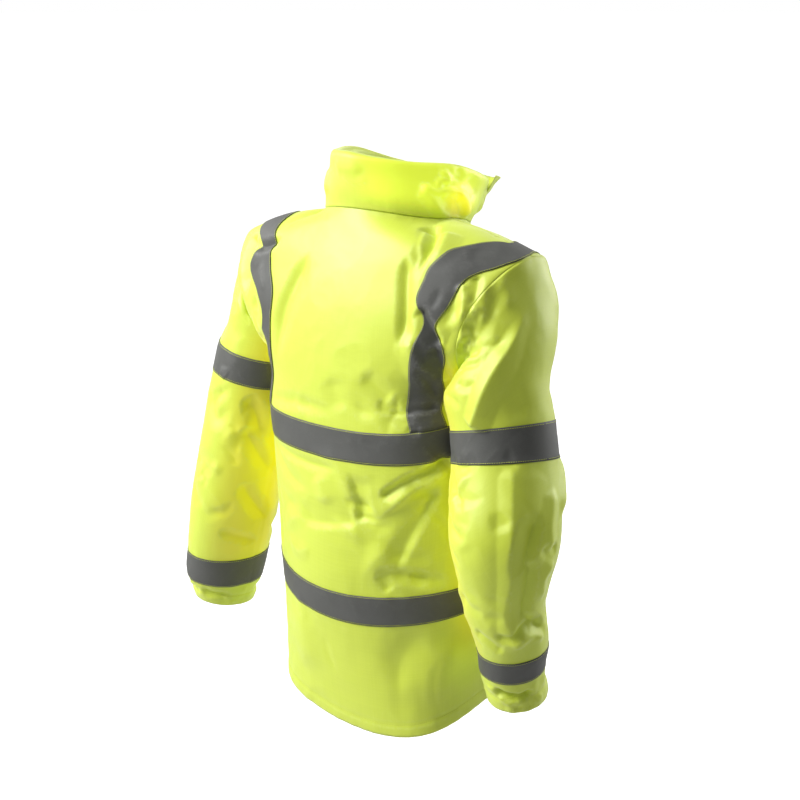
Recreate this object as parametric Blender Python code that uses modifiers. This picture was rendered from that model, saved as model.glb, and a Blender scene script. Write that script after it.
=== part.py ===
"""Hi-vis work jacket, worn, with its sleeves hanging and its stand collar up.

Metres. The origin is the middle of the neck opening at the collar seam, +Z is up,
the fronts face -Y, and the wearer's left is +X.
"""

from math import atan2, cos, pi, radians, sin

import bmesh
import bpy
import numpy as np
from mathutils import Vector

# Cloth and tape
wall = 0.0014            # shell cloth with its backing
tapeWall = 0.0010        # reflective tape
seamGap = 0.0003         # between neighbouring pieces, and under the tape
foldGap = 0.0007         # where the cloth turns at a seam
sleeveClear = 0.0035     # sleeves stand this far off the body
sleeveSoft = 0.006       # and round away from it over this width

# Zip
zipOpening = 0.0055      # from the middle to each front edge
zipTapeHalf = 0.0135
zipTapeWall = 0.0010
chainHalf = 0.0029
chainRise = 0.0004
sliderPlace = 0.765      # share of the collar's height
sliderSize = (0.0086, 0.0110, 0.0022)       # across, along the zip, thick
sliderLift = 0.0008
bridgeSize = (0.0020, 0.0080, 0.0032)       # across, along the zip, high
bridgeBar = 0.0011
bridgeSink = 0.0003                         # its feet start inside the slider plate
pinDrop = 0.0018                            # pull's pin below the middle of the slider
pullWidth, pullLength, pullWall = 0.0078, 0.0200, 0.0012
pullPin, slotWidth, slotLength = 0.0012, 0.0032, 0.0034

# Storm flap
flapHalf = 0.034
flapWall = 0.0016
flapTip = 0.15           # past the collar's top, as a share of the collar's height
flapLean = 1.5           # how far it leans forward as it stands off, against standing straight out
flapDrop = 0.75          # its free edge comes back to the jacket by this share
# place in body sections, the collar's height as one more; how far the flap stands off
flapRows = [
    (0, 0.0019), (9.0, 0.0019), (10.5, 0.0045), (11.4, 0.0120), (12.0, 0.0180), (12.6, 0.0180), (13.0, 0.0210),
    (13.15, 0.0260),
]

# Body sections below the arms, from the hem up.
# name, height at the back, half width, depth back, depth front, middle, squareness,
# rise at the front, rise at the sides, sideways tilt
lowRows = [
    ("hem", -0.8275, 0.1940, 0.1378, 0.1380, -0.0035, 0.0650, 0.0791, 0.0210, -0.0065),
    ("skirt", -0.7181, 0.2019, 0.1445, 0.1420, 0.0043, 0.0357, 0.0599, 0.0171, -0.0261),
    ("lowerBandFoot", -0.6337, 0.2079, 0.1496, 0.1450, 0.0103, 0.0094, 0.0452, 0.0140, -0.0413),
    ("lowerBandTop", -0.5837, 0.2115, 0.1527, 0.1480, 0.0138, 0.0000, 0.0364, 0.0123, -0.0502),
    ("waist", -0.4744, 0.2087, 0.1575, 0.1530, 0.0106, 0.0132, 0.0340, 0.0087, -0.0570),
    ("chestBandFoot", -0.3650, 0.2028, 0.1619, 0.1580, 0.0043, 0.0480, 0.0365, 0.0054, -0.0600),
    ("chestBandTop", -0.3150, 0.2015, 0.1629, 0.1580, 0.0028, 0.0559, 0.0370, 0.0046, -0.0607),
]
lowShift = -0.014        # the body below the arms stands this far to the right
shoulderTilt = -0.045

# Body sections beside the armholes.
# name, place on the armhole in degrees, back height, back depth, front height, front depth, turn
highRows = [
    ("armpit", 180, -0.268, 0.166, -0.245, -0.160, 88),
    ("blade", 142, -0.215, 0.163, -0.205, -0.160, 74),
    ("chest", 105, -0.152, 0.153, -0.162, -0.157, 62),
    ("yoke", 70, -0.090, 0.135, -0.122, -0.152, 54),
    ("nape", 35, -0.028, 0.110, -0.084, -0.142, 46),
]

# What the sleeves stay clear of: height, half width, depth, squareness (2 is round)
sideRows = [
    (-0.83, 0.194, 0.138, 2.4), (-0.60, 0.211, 0.152, 2.3), (-0.47, 0.209, 0.157, 2.3),
    (-0.34, 0.203, 0.162, 2.6), (-0.27, 0.206, 0.160, 3.2), (-0.20, 0.205, 0.138, 3.6),
]

# Neck seam: back (fore-aft, up), side (out, fore-aft, up), front (fore-aft, up)
neckBack = (0.093, 0.008)
neckSide = (0.112, -0.002, -0.012)
neckFront = (-0.128, -0.048)
neckShare = 0.47         # share of each half taken by the neck at the shoulder line
shoulderCrown = 0.006

# Armhole seam: place in degrees from the shoulder over the back, out, fore-aft, up
armholeRows = [
    (0, 0.283, 0.012, -0.052),
    (45, 0.262, 0.076, -0.084),
    (90, 0.228, 0.110, -0.150),
    (135, 0.208, 0.084, -0.222),
    (180, 0.203, 0.020, -0.262),
    (225, 0.200, -0.050, -0.225),
    (270, 0.210, -0.088, -0.150),
    (315, 0.250, -0.060, -0.086),
]

# Brace edges on the back and front: level, inner edge, outer edge (shares of the half width)
braceRows = {
    "left": [(6, 0.46, 0.67), (7, 0.48, 0.70), (8, 0.49, 0.72), (8.9, 0.48, 0.60), (9.5, 0.461, 0.665),
             (10.15, 0.507, 0.76), (10.5, 0.515, 0.68), (10.75, 0.50, 0.66), (11.24, 0.56, 0.80),
             (12, 0.74, 0.985)],
    "right": [(6, 0.455, 0.675), (6.8, 0.457, 0.667), (7.85, 0.556, 0.800), (8.8, 0.635, 0.885),
              (9.3, 0.675, 0.785), (9.85, 0.585, 0.825), (10.3, 0.590, 0.838), (10.6, 0.592, 0.845),
              (10.85, 0.620, 0.890), (11.1, 0.655, 0.950), (11.4, 0.750, 0.985), (12, 0.88, 0.992)],
    "front": [(6, 0.44, 0.64), (8, 0.46, 0.67), (9.5, 0.55, 0.78), (11, 0.68, 0.91)],
}

# Sleeve sections from the shoulder to the cuff.
# name, out, fore-aft, up, long radius, short radius, turn, fore tilt, spin
sleeveRows = {
    "left": [
        ("head", 0.242, 0.006, -0.160, 0.095, 0.088, 62, 0, 0),
        ("cap", 0.243, 0.014, -0.195, 0.083, 0.085, 38, 3, 0),
        ("biceps", 0.253, 0.021, -0.232, 0.077, 0.080, 20, 5, 0),
        ("upperBandTop", 0.265, 0.030, -0.268, 0.078, 0.078, 10, 5, 0),
        ("upperBandFoot", 0.277, 0.037, -0.317, 0.078, 0.078, 9, 6, 0),
        ("elbow", 0.294, 0.066, -0.455, 0.074, 0.071, 9, 6, 45),
        ("forearm", 0.314, 0.072, -0.560, 0.075, 0.066, 7, 0, 45),
        ("lowerBandTop", 0.332, 0.073, -0.635, 0.072, 0.060, 3, -5, 45),
        ("lowerBandFoot", 0.344, 0.073, -0.690, 0.066, 0.055, 5, -3, 45),
        ("cuff", 0.350, 0.070, -0.732, 0.052, 0.046, 7, 0, 45),
    ],
    "right": [
        ("head", 0.246, 0.012, -0.155, 0.097, 0.088, 62, 0, 0),
        ("cap", 0.248, 0.024, -0.190, 0.086, 0.087, 38, 4, 0),
        ("biceps", 0.252, 0.048, -0.235, 0.081, 0.083, 20, 8, 0),
        ("upperBandTop", 0.267, 0.052, -0.284, 0.079, 0.079, 15, 7, 0),
        ("upperBandFoot", 0.279, 0.060, -0.334, 0.080, 0.080, 13, 9, 0),
        ("elbow", 0.305, 0.093, -0.440, 0.086, 0.085, 6, 6, 45),
        ("forearm", 0.308, 0.089, -0.540, 0.071, 0.061, 3, -4, 45),
        ("lowerBandTop", 0.312, 0.071, -0.613, 0.064, 0.053, 5, -5, 45),
        ("lowerBandFoot", 0.303, 0.060, -0.653, 0.062, 0.050, 3, -6, 45),
        ("cuff", 0.302, 0.046, -0.704, 0.060, 0.047, 3, -9, 45),
    ],
}

# Collar: top edge round the neck from the back (degrees, out, fore-aft, up)
collarTop = [
    (0, 0.000, 0.091, 0.090),
    (30, 0.038, 0.077, 0.086),
    (60, 0.073, 0.041, 0.080),
    (90, 0.104, -0.024, 0.073),
    (120, 0.094, -0.098, 0.050),
    (150, 0.047, -0.163, 0.029),
    (180, 0.000, -0.201, 0.021),
]
collarTilt = 0.040       # its left side stands higher
collarLift = 0.012       # its foot stands this share of its height above the neck seam
# Collar profile: share of the height, outwards. Up the outer side, over the roll, down inside.
collarProfile = [
    (0.00, 0.000), (0.34, 0.0040), (0.66, 0.0048), (0.87, 0.0075), (0.97, 0.0060),
    (1.00, -0.003), (0.95, -0.011), (0.76, -0.012), (0.42, -0.010), (0.12, -0.007),
]

# Largest folds: surface, first end (u, v), second end (u, v), half width, depth (+ out, - in)
foldRows = [
    ("back", (-0.50, 11.6), (-0.53, 10.1), 0.020, -0.008),
    ("back", (-0.60, 11.6), (-0.59, 10.6), 0.018, 0.005),
    ("back", (0.78, 11.0), (0.86, 10.0), 0.016, -0.010),
    ("back", (0.18, 10.4), (0.39, 8.3), 0.024, -0.006),
    ("back", (-0.48, 10.5), (-0.54, 8.0), 0.022, -0.006),
    ("back", (-0.66, 4.9), (-0.31, 4.5), 0.020, 0.007),
    ("back", (-0.62, 4.6), (-0.33, 3.1), 0.024, 0.008),
    ("back", (0.16, 4.8), (-0.12, 4.1), 0.026, -0.006),
    ("front", (0.30, 5.0), (0.75, 4.2), 0.024, 0.006),
    ("front", (-0.35, 4.8), (-0.75, 4.0), 0.024, 0.006),
    ("front", (0.70, 10.4), (0.84, 8.6), 0.018, -0.008),
    ("front", (-0.70, 10.4), (-0.84, 8.6), 0.018, -0.008),
    ("sleeve_right", (11, 1.5), (61, 2.9), 0.016, -0.008),
    ("sleeve_right", (61, 2.9), (98, 4.0), 0.015, -0.007),
    ("sleeve_right", (115, 5.4), (55, 5.5), 0.018, -0.006),
    ("sleeve_right", (115, 5.9), (45, 6.0), 0.018, 0.006),
    ("sleeve_right", (40, 5.2), (346, 5.7), 0.016, -0.006),
    ("sleeve_right", (230, 5.3), (300, 5.8), 0.020, -0.006),
    ("sleeve_left", (119, 5.2), (165, 5.8), 0.018, -0.007),
    ("sleeve_left", (130, 6.2), (186, 6.9), 0.018, -0.006),
    ("sleeve_left", (230, 5.4), (300, 5.9), 0.020, -0.006),
]

materialRows = {
    # name: (colour, roughness, metallic)
    "hi_vis_cloth": ((0.80, 0.87, 0.03), 0.55, 0.0),
    "reflective_tape": ((0.16, 0.165, 0.16), 0.45, 0.1),
    "zip_tape": ((0.012, 0.012, 0.013), 0.8, 0.0),
    "zip_teeth": ((0.80, 0.80, 0.77), 0.35, 0.0),
    "zip_metal": ((0.55, 0.55, 0.53), 0.35, 1.0),
}

pitRow = len(lowRows)
topRow = pitRow + len(highRows)


# ---------------------------------------------------------------- small tools

def smooth(low, high, x):
    t = np.clip((x - low) / (high - low), 0, 1)
    return t * t * (3 - 2 * t)


def through(rows, knots, place):
    """Smooth curve through rows (first axis) at the given places, with uneven knots."""
    last = len(knots) - 1
    j = np.clip(np.searchsorted(knots, place, side="right") - 1, 0, last - 1)

    def row(i):
        i = np.clip(i, 0, last)
        return np.take_along_axis(rows, i[None, ..., None] + np.zeros((1,) + rows.shape[1:], int), 0)[0]

    def knot(i):
        return knots[np.clip(i, 0, last)]

    def slope(i):
        before = np.maximum(knot(i) - knot(i - 1), 1e-9)[..., None]
        after = np.maximum(knot(i + 1) - knot(i), 1e-9)[..., None]
        inside = (row(i) - row(i - 1)) / before * after + (row(i + 1) - row(i)) / after * before
        ends = (row(i + 1) - row(i - 1)) / (knot(i + 1) - knot(i - 1))[..., None]
        return np.where(((i <= 0) | (i >= last))[..., None], ends, inside / (before + after))

    h = (knot(j + 1) - knot(j))[..., None]
    t = ((place - knot(j))[..., None]) / h
    return ((2 * t**3 - 3 * t**2 + 1) * row(j) + (t**3 - 2 * t**2 + t) * h * slope(j)
            + (3 * t**2 - 2 * t**3) * row(j + 1) + (t**3 - t**2) * h * slope(j + 1))


def ringThrough(table, degrees):
    """Closed smooth curve through a table whose first column is evenly spaced round the ring."""
    points = np.array(table, float)[:, 1:]
    count = len(points)
    place = np.asarray(degrees, float) % 360 / 360 * count
    j = np.floor(place).astype(int)
    t = (place - j)[..., None]
    a, b, c, d = (points[(j + i) % count] for i in (-1, 0, 1, 2))
    return 0.5 * (2 * b + (c - a) * t + (2 * a - 5 * b + 4 * c - d) * t**2 + (3 * b - a - 3 * c + d) * t**3)


def unit(v):
    return v / np.maximum(np.linalg.norm(v, axis=-1, keepdims=True), 1e-12)


def gridNormals(grid, closed=False):
    """Unit normals of a grid of points; its first axis crossed with its second points out."""
    if closed:
        across = np.roll(grid, -1, axis=0) - np.roll(grid, 1, axis=0)
    else:
        across = np.gradient(grid, axis=0)
    along = np.gradient(grid, axis=1)
    return unit(np.cross(across, along))


def moved(grid, distance):
    """The grid moved along its normals, further at bends along it, so that every strip moves that far."""
    normals = gridNormals(grid)
    across = np.gradient(grid, axis=0)
    strips = unit(np.cross((across[:, 1:] + across[:, :-1]) / 2, np.diff(grid, axis=1)))
    turn = np.ones(grid.shape[:2])
    turn[:, 1:-1] = np.sqrt((1 + np.sum(strips[:, 1:] * strips[:, :-1], axis=-1)) / 2)
    return grid + normals * distance / turn[..., None]


# ---------------------------------------------------------------- body surface

def arc(u, turn, square):
    """Share of the way out and of the depth, along a quarter round of the given turn."""
    def out(t):
        return (np.sin(t) + square * np.sin(3 * t)) / (1 - square)

    def deep(t):
        return (np.cos(t) - square * np.cos(3 * t)) / (1 - square)

    return out(u * turn) / out(turn), (deep(u * turn) - deep(turn)) / (deep(0) - deep(turn))


def armhole(degrees, side):
    return ringThrough(armholeRows, np.asarray(degrees, float) * side)


def lowSection(row, side, u):
    _, height, half, depthBack, depthFront, middle, square, frontRise, sideRise, tilt = row
    out, deep = arc(u, pi / 2, square)
    facing = side * np.cos(u * pi / 2)
    x = half * out
    y = middle + side * (depthBack if side > 0 else depthFront) * deep
    z = height + frontRise * (1 - facing) / 2 + sideRise * (1 - facing**2) + tilt * x
    return np.stack([x + lowShift, y, z], -1)


def highSection(index, side, u):
    _, place, backHeight, backDepth, frontHeight, frontDepth, turn = highRows[index]
    edge = armhole(place, side)
    height, depth = (backHeight, backDepth) if side > 0 else (frontHeight, frontDepth)
    out, deep = arc(np.abs(u), radians(turn), 0.03)
    share = (index + 1) / len(highRows)
    x = np.sign(u) * edge[0] * out
    y = edge[1] + (depth - edge[1]) * deep
    tilt = lowRows[-1][-1] * (1 - share) + shoulderTilt * share
    z = height + (edge[2] - height) * u * u + tilt * x
    return np.stack([x + lowShift * (1 - share), y, z], -1)


def shoulderLine(side, u):
    """The neck seam in the middle, then the shoulder seam out to the armhole."""
    a = np.abs(u)
    s = np.clip(a / neckShare, 0, 1) * pi / 2
    r = np.clip((a - neckShare) / (1 - neckShare), 0, 1)
    depth, height = neckBack if side > 0 else neckFront
    top = armholeRows[0][1:]
    x = neckSide[0] * np.sin(s) + (top[0] - neckSide[0]) * r
    y = neckSide[1] + (depth - neckSide[1]) * np.cos(s) + (top[1] - neckSide[1]) * r
    z = neckSide[2] + (height - neckSide[2]) * np.cos(s)**1.5 + (top[2] - neckSide[2]) * r
    x = np.sign(u) * x
    return np.stack([x, y, z + shoulderCrown * np.sin(r * pi) + shoulderTilt * x], -1)


def bodySection(index, side, u):
    if index < pitRow:
        return lowSection(lowRows[index], side, u)
    if index < topRow:
        return highSection(index - pitRow, side, u)
    return shoulderLine(side, u)


def bodyKnots():
    """Distance up the body of each section, so that the surface runs evenly between them."""
    places = [bodySection(i, 1, np.array(0.7)) for i in range(topRow + 1)]
    steps = [np.linalg.norm(b - a) for a, b in zip(places, places[1:])]
    return np.concatenate([[0], np.cumsum(steps)])


bodyHeights = bodyKnots()


def loosePoint(u, v, side):
    """Outer face of the body: u -1 right to 1 left, v in sections from the hem, side 1 back or -1 front."""
    u, v = np.broadcast_arrays(np.asarray(u, float), np.asarray(v, float))
    rows = [bodySection(i, side, u) for i in range(topRow + 1)]
    over = bodySection(topRow - 1, -side, u)
    beyond = 2 * rows[-1] - rows[-2]
    share = smooth(neckShare - 0.04, neckShare + 0.08, np.abs(u))[..., None]
    rows.append(beyond * (1 - share) + over * share)
    knots = np.append(bodyHeights, 2 * bodyHeights[-1] - bodyHeights[-2])
    height = np.interp(v, range(topRow + 1), bodyHeights)
    return through(np.stack(rows), knots, height)


def bodyPoint(u, v, side):
    """The body's outer face, with the back and the fronts drawn together at the side seams."""
    u, v = np.broadcast_arrays(np.asarray(u, float), np.asarray(v, float))
    point = loosePoint(u, v, side)
    seam = np.where(u < 0, -1.0, 1.0)
    share = (smooth(0.55, 1, np.abs(u)) * (v < pitRow))[..., None]
    return point + (loosePoint(seam, v, -side) - loosePoint(seam, v, side)) / 2 * share


def tableAt(rows, level, column):
    return np.interp(level, [r[0] for r in rows], [r[column] for r in rows])


def braceEdges(side, hand, level):
    """Inner and outer edge of a brace as shares of the half width."""
    rows = braceRows[hand]
    if side < 0:
        rows = braceRows["front"] + [braceRows[hand][-1]]
    return tableAt(rows, level, 1), tableAt(rows, level, 2)


# ---------------------------------------------------------------- body grids

tapeReach = 1.1 * zipTapeHalf / zipOpening      # the fronts have a column just past the zip's tape
columnCounts = (3, 2, 2, 2)      # middle to neck, neck to brace, brace, brace to side
rowCounts = (2, 2, 1, 3, 3, 1, 2, 2, 2, 2, 2, 2)


def bodyLevels():
    levels = [i + k / n for i, n in enumerate(rowCounts) for k in range(n)]
    return np.array(levels + [float(topRow)])


levels = bodyLevels()


def halfShares(side, hand, level, middle):
    """Column places of one half, from the middle to the side seam or armhole."""
    inner, outer = braceEdges(side, hand, max(level, 6.0))
    neck = neckShare * (0.62 + 0.38 * smooth(7, topRow, level))
    stops = [middle, min(neck, inner - 0.03), inner, outer, 1.0]
    if level >= topRow - 0.01:
        stops[1] = neckShare
    places = [stops[0]]
    for (a, b), n in zip(zip(stops, stops[1:]), columnCounts):
        places += [a + (b - a) * (k + 1) / n for k in range(n)]
    return np.array(places)


def edgeTrim(side, level):
    """Share of the half width cut off at the side seam, or at the armhole, for the seam's gap."""
    reach = 0.33 if level <= pitRow else 0.27
    return (0.6 if level < pitRow else 1.0) * foldGap / reach


def bodyGrid(side, hand=None):
    """Grid of the back panel (side 1), or of one front (side -1), columns from right to left."""
    top = topRow - foldGap / 0.05
    rows = []
    for level in levels:
        parts = []
        for each, sign in (("right", -1), ("left", 1)):
            if side < 0 and each != hand:
                continue
            middle = 0.0 if side > 0 else zipShare(level)
            shares = halfShares(side, each, level, middle)
            if side < 0:
                shares = np.insert(shares, 1, middle * tapeReach)
            shares[-1] -= edgeTrim(side, level)
            u = sign * shares
            parts.append(u[::-1] if sign < 0 else u)
        u = np.concatenate([parts[0], parts[1][1:]]) if side > 0 else parts[0]
        rows.append(bodyPoint(u, np.full(len(u), min(level, top)), side))
    grid = np.stack(rows, axis=1)
    return grid if side < 0 else grid[::-1]


def sharesPerMetre(level):
    """Shares of the half width per metre, at the middle of the front."""
    step = 0.02
    near = bodyPoint(np.array([0.0, step]), np.full(2, level), -1)
    return step / np.linalg.norm(near[1] - near[0])


def zipShare(level):
    """Share of the half width from the middle of the front to the front's edge."""
    return zipOpening * sharesPerMetre(level)


# ---------------------------------------------------------------- sleeve surface

armholeLevels = levels[levels >= pitRow]
armholePlaces = np.interp(armholeLevels, range(pitRow, topRow + 1), [r[1] for r in highRows] + [0])
sleeveCounts = (1, 1, 1, 2, 1, 3, 2, 2, 1, 1)


def sleeveGrid(hand):
    """Rings down the sleeve; the first follows the edges of the back and front."""
    sign = 1 if hand == "left" else -1
    back = [(p, v, 1) for p, v in zip(armholePlaces, armholeLevels)][::-1]
    front = [(360 - p, v, -1) for p, v in zip(armholePlaces, armholeLevels)][1:-1]
    places = np.array([p for p, _, _ in back + front], float)
    head = np.stack([bodyPoint(np.array(sign * 1.0), np.array(v), side) for _, v, side in back + front])
    rings = [head]
    centres = [head.mean(axis=0)]
    for _, out, aft, up, long, short, turn, tilt, spin in sleeveRows[hand]:
        outward = np.array([sign * cos(radians(turn)), 0, sin(radians(turn))])
        aftward = np.array([0, cos(radians(tilt)), sin(radians(tilt))])
        angle = np.radians(places - spin)[:, None]
        along, across = long * np.cos(angle), short * np.sin(angle)
        s = radians(spin)
        centres.append(np.array([sign * out, aft, up]))
        rings.append(centres[-1] + (along * cos(s) - across * sin(s)) * outward
                     + (along * sin(s) + across * cos(s)) * aftward)
    knots = np.concatenate([[0], np.cumsum([np.linalg.norm(b - a) for a, b in zip(centres, centres[1:])])])
    steps = [i + k / n for i, n in enumerate(sleeveCounts) for k in range(n)] + [len(sleeveCounts)]
    down = np.interp(steps, range(len(knots)), knots)
    rows = np.stack(rings)
    grid = np.stack([through(rows, knots, np.full(len(places), d)) for d in down], axis=1)
    grid[:, 1:] = clearOfBody(grid[:, 1:], sign)
    grid[:, 0] += unit(grid[:, 1] - grid[:, 0]) * foldGap
    return grid[::-1] if hand == "left" else grid


def clearOfBody(points, sign):
    """Moves sleeve points outwards where they would touch the side of the body."""
    heights = [r[0] for r in sideRows]
    half, depth, square = (np.interp(points[..., 2], heights, [r[c] for r in sideRows]) for c in (1, 2, 3))
    away = np.clip(np.abs(points[..., 1]) / depth, 0, 1)
    shift = sign * lowShift * smooth(-0.15, -0.27, points[..., 2])
    limit = half * (1 - away**square)**(1 / square) + shift + wall + tapeWall + sleeveClear
    limit = np.where(points[..., 2] > -0.20, -1, limit)
    out = points[..., 0] * sign
    moved = points.copy()
    moved[..., 0] = sign * (out + limit + np.sqrt((out - limit)**2 + sleeveSoft**2)) / 2
    return np.where((out > limit + 3 * sleeveSoft)[..., None], points, moved)


# ---------------------------------------------------------------- collar surface

def neckSeam(degrees):
    """Neck seam, from 0 at the back through 90 at the left to 180 at the front."""
    a = np.abs(degrees)
    u = np.where(a <= 90, a, 180 - a) / 90 * neckShare * np.where(degrees < 0, -1, 1)
    return np.where((a <= 90)[..., None], shoulderLine(1, u), shoulderLine(-1, u))


def collarEdge(degrees):
    mirrored = [(360 - d, -x, y, z) for d, x, y, z in collarTop[-2:0:-1]]
    edge = ringThrough(collarTop + mirrored, degrees)
    edge[..., 2] += collarTilt * edge[..., 0]
    return edge


def collarPoint(degrees, share, outwards):
    base, top = neckSeam(degrees), collarEdge(degrees)
    tangent = collarEdge(degrees + 1) - collarEdge(degrees - 1)
    normal = unit(np.cross(top - base, tangent))
    return base + (top - base) * np.asarray(share)[..., None] + normal * np.asarray(outwards)[..., None]


def collarGrid():
    end = collarEnd()
    degrees = np.concatenate([[-end], np.arange(-165, 166, 15), [end]])
    share = np.array([p[0] for p in collarProfile])
    out = np.array([p[1] for p in collarProfile])
    share[0] = collarLift
    d, s = np.meshgrid(degrees, share, indexing="ij")
    _, o = np.meshgrid(degrees, out, indexing="ij")
    return collarPoint(d, s, o)


def collarEnd():
    """Degrees round the collar at which its front edge stands off the middle."""
    near = collarPoint(np.array([179.0, 180.0]), np.array([0.5, 0.5]), np.zeros(2))
    return 180 - zipOpening / np.linalg.norm(near[1] - near[0])


# ---------------------------------------------------------------- middle of the front

def frontPoint(x, place):
    """Point of the outer face x metres left of the middle; place in body sections, then the collar."""
    if place <= topRow:
        return bodyPoint(x * sharesPerMetre(place), np.full_like(x, place), -1)
    share = place - topRow
    near = collarPoint(np.array([179.0, 180.0]), np.full(2, min(share, 1.0)), np.zeros(2))
    degrees = 180 - x / np.linalg.norm(near[1] - near[0])
    degrees = np.where(degrees > 180, degrees - 360, degrees)
    heights, bulges = zip(*collarProfile[:4])
    return collarPoint(degrees, np.full_like(x, share), np.full_like(x, np.interp(share, heights, bulges)))


def frontStrip(across, places):
    return np.stack([frontPoint(np.asarray(across, float), place) for place in places], axis=1)


def sliderFrame():
    """Middle of the slider's foot on the zip, with its across, up and outward directions."""
    middle = np.zeros(1)
    below, here, above = (frontPoint(middle, topRow + sliderPlace + d)[0] for d in (-0.05, 0, 0.05))
    up = unit(above - below)
    across = np.array([1.0, 0, 0])
    outward = unit(np.cross(across, up))
    return here + outward * (chainRise + sliderLift), across, up, outward


# ---------------------------------------------------------------- folds

def foldPoint(surface, u, v):
    if surface == "back":
        return bodyPoint(u, v, 1)
    if surface == "front":
        return bodyPoint(u, v, -1)
    hand = surface.split("_")[1]
    sign = 1 if hand == "left" else -1
    rows = sleeveRows[hand]
    k = np.clip(np.asarray(v) - 1, 0, len(rows) - 1)
    columns = np.array([r[1:] for r in rows], float)
    out, aft, up, long, short, turn, tilt, spin = (np.interp(k, range(len(rows)), c) for c in columns.T)
    a, s = np.radians(u - spin), np.radians(spin)
    along, across = long * np.cos(a), short * np.sin(a)
    outward = np.stack([sign * np.cos(np.radians(turn)), 0 * k, np.sin(np.radians(turn))], -1)
    aftward = np.stack([0 * k, np.cos(np.radians(tilt)), np.sin(np.radians(tilt))], -1)
    centre = np.stack([sign * out, aft, up], -1)
    return (centre + (along * np.cos(s) - across * np.sin(s))[..., None] * outward
            + (along * np.sin(s) + across * np.cos(s))[..., None] * aftward)


def folded(grid, surface, closed=False):
    """Moves the grid along its normals by the folds of that surface."""
    normals = gridNormals(grid, closed)
    offset = np.zeros(grid.shape[:2])
    for name, first, second, half, depth in foldRows:
        if name != surface:
            continue
        t = np.linspace(0, 1, 15)
        line = foldPoint(surface, first[0] + (second[0] - first[0]) * t, first[1] + (second[1] - first[1]) * t)
        ends = np.sin(np.clip(0.12 + 0.76 * t, 0, 1) * pi)**0.5
        gaps = np.linalg.norm(grid[..., None, :] - line, axis=-1)
        offset += depth * np.max(np.exp(-(gaps / half)**2) * ends, axis=-1)
    return grid + normals * offset[..., None]


# ---------------------------------------------------------------- Blender objects

jacket = bpy.data.collections.new("hi_vis_jacket")


def clearScene():
    for item in list(bpy.data.objects):
        bpy.data.objects.remove(item)
    bpy.context.scene.collection.children.link(jacket)


def makeMaterial(name):
    colour, roughness, metallic = materialRows[name]
    material = bpy.data.materials.new(name)
    material.use_nodes = True
    shader = material.node_tree.nodes["Principled BSDF"]
    shader.inputs["Base Color"].default_value = (*colour, 1)
    shader.inputs["Roughness"].default_value = roughness
    shader.inputs["Metallic"].default_value = metallic
    return material


def addObject(name, bm, material):
    mesh = bpy.data.meshes.new(name)
    bm.to_mesh(mesh)
    bm.free()
    mesh.materials.append(material)
    item = bpy.data.objects.new(name, mesh)
    jacket.objects.link(item)
    return item


def addSheet(name, grid, thickness, material, inward=True, closed=False):
    """A cloth sheet whose face follows the grid, thickened to one side by Solidify."""
    if closed:
        grid = np.concatenate([grid, grid[:1]], axis=0)
    columns, rows = grid.shape[:2]
    bm = bmesh.new()
    bmesh.ops.create_grid(bm, x_segments=columns - 1, y_segments=rows - 1, size=1)
    for vert in bm.verts:
        i = round((vert.co.x + 1) / 2 * (columns - 1))
        j = round((vert.co.y + 1) / 2 * (rows - 1))
        vert.co = grid[i, j]
    if closed:
        bmesh.ops.remove_doubles(bm, verts=bm.verts, dist=0.00001)
    item = addObject(name, bm, material)
    item.data.shade_smooth()
    solidify = item.modifiers.new("wall", "SOLIDIFY")
    solidify.thickness = thickness
    solidify.offset = -1 if inward else 1
    solidify.use_even_offset = True
    return item


def addTape(name, grid, material, closed=False):
    """Tape over part of a panel: the panel's points moved out by the seam gap."""
    lifted = grid + gridNormals(grid, closed) * seamGap
    return addSheet(name, lifted, tapeWall, material, inward=False, closed=closed)


def rowsBetween(low, high, all=levels):
    return [i for i, v in enumerate(all) if low - 1e-6 <= v <= high + 1e-6]


# ---------------------------------------------------------------- pieces

def buildBody(cloth, tape):
    grids = {
        "back": folded(bodyGrid(1), "back"),
        "left": folded(bodyGrid(-1, "left"), "front"),
        "right": folded(bodyGrid(-1, "right"), "front"),
    }
    addSheet("back_panel", grids["back"], wall, cloth)
    addSheet("front_left", grids["left"], wall, cloth)
    addSheet("front_right", grids["right"], wall, cloth)
    for name, low, high in (("lower_band", 2, 3), ("chest_band", 5, 6)):
        rows = rowsBetween(low, high)
        around = np.concatenate([grids["left"], grids["back"], grids["right"]], axis=0)
        addTape(name, around[:, rows], tape)
    return grids


def buildBraces(grids, tape):
    """Each brace runs from the chest band up the back, over the shoulder and down the front."""
    half = sum(columnCounts)
    start = sum(columnCounts[:2])
    width = columnCounts[2]
    rows = rowsBetween(6, topRow)
    for hand in ("left", "right"):
        columns = range(start, start + width + 1)
        if hand == "left":
            back = grids["back"][[half - c for c in columns]][:, rows]
            front = grids["left"][[c + 1 for c in columns]][:, rows]
        else:
            back = grids["back"][[half + c for c in columns]][:, rows]
            front = grids["right"][[half - c for c in columns]][:, rows]
        strip = np.concatenate([back, front[:, ::-1]], axis=1)
        foot = unit(strip[:, 1] - strip[:, 0]) * seamGap * 2
        strip[:, 0] += foot
        strip[:, -1] += unit(strip[:, -2] - strip[:, -1]) * seamGap * 2
        if np.mean(gridNormals(strip)[:, 3] @ np.array([0, 1, 0])) < 0:
            strip = strip[::-1]
        addTape("brace_" + hand, strip, tape)


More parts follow.
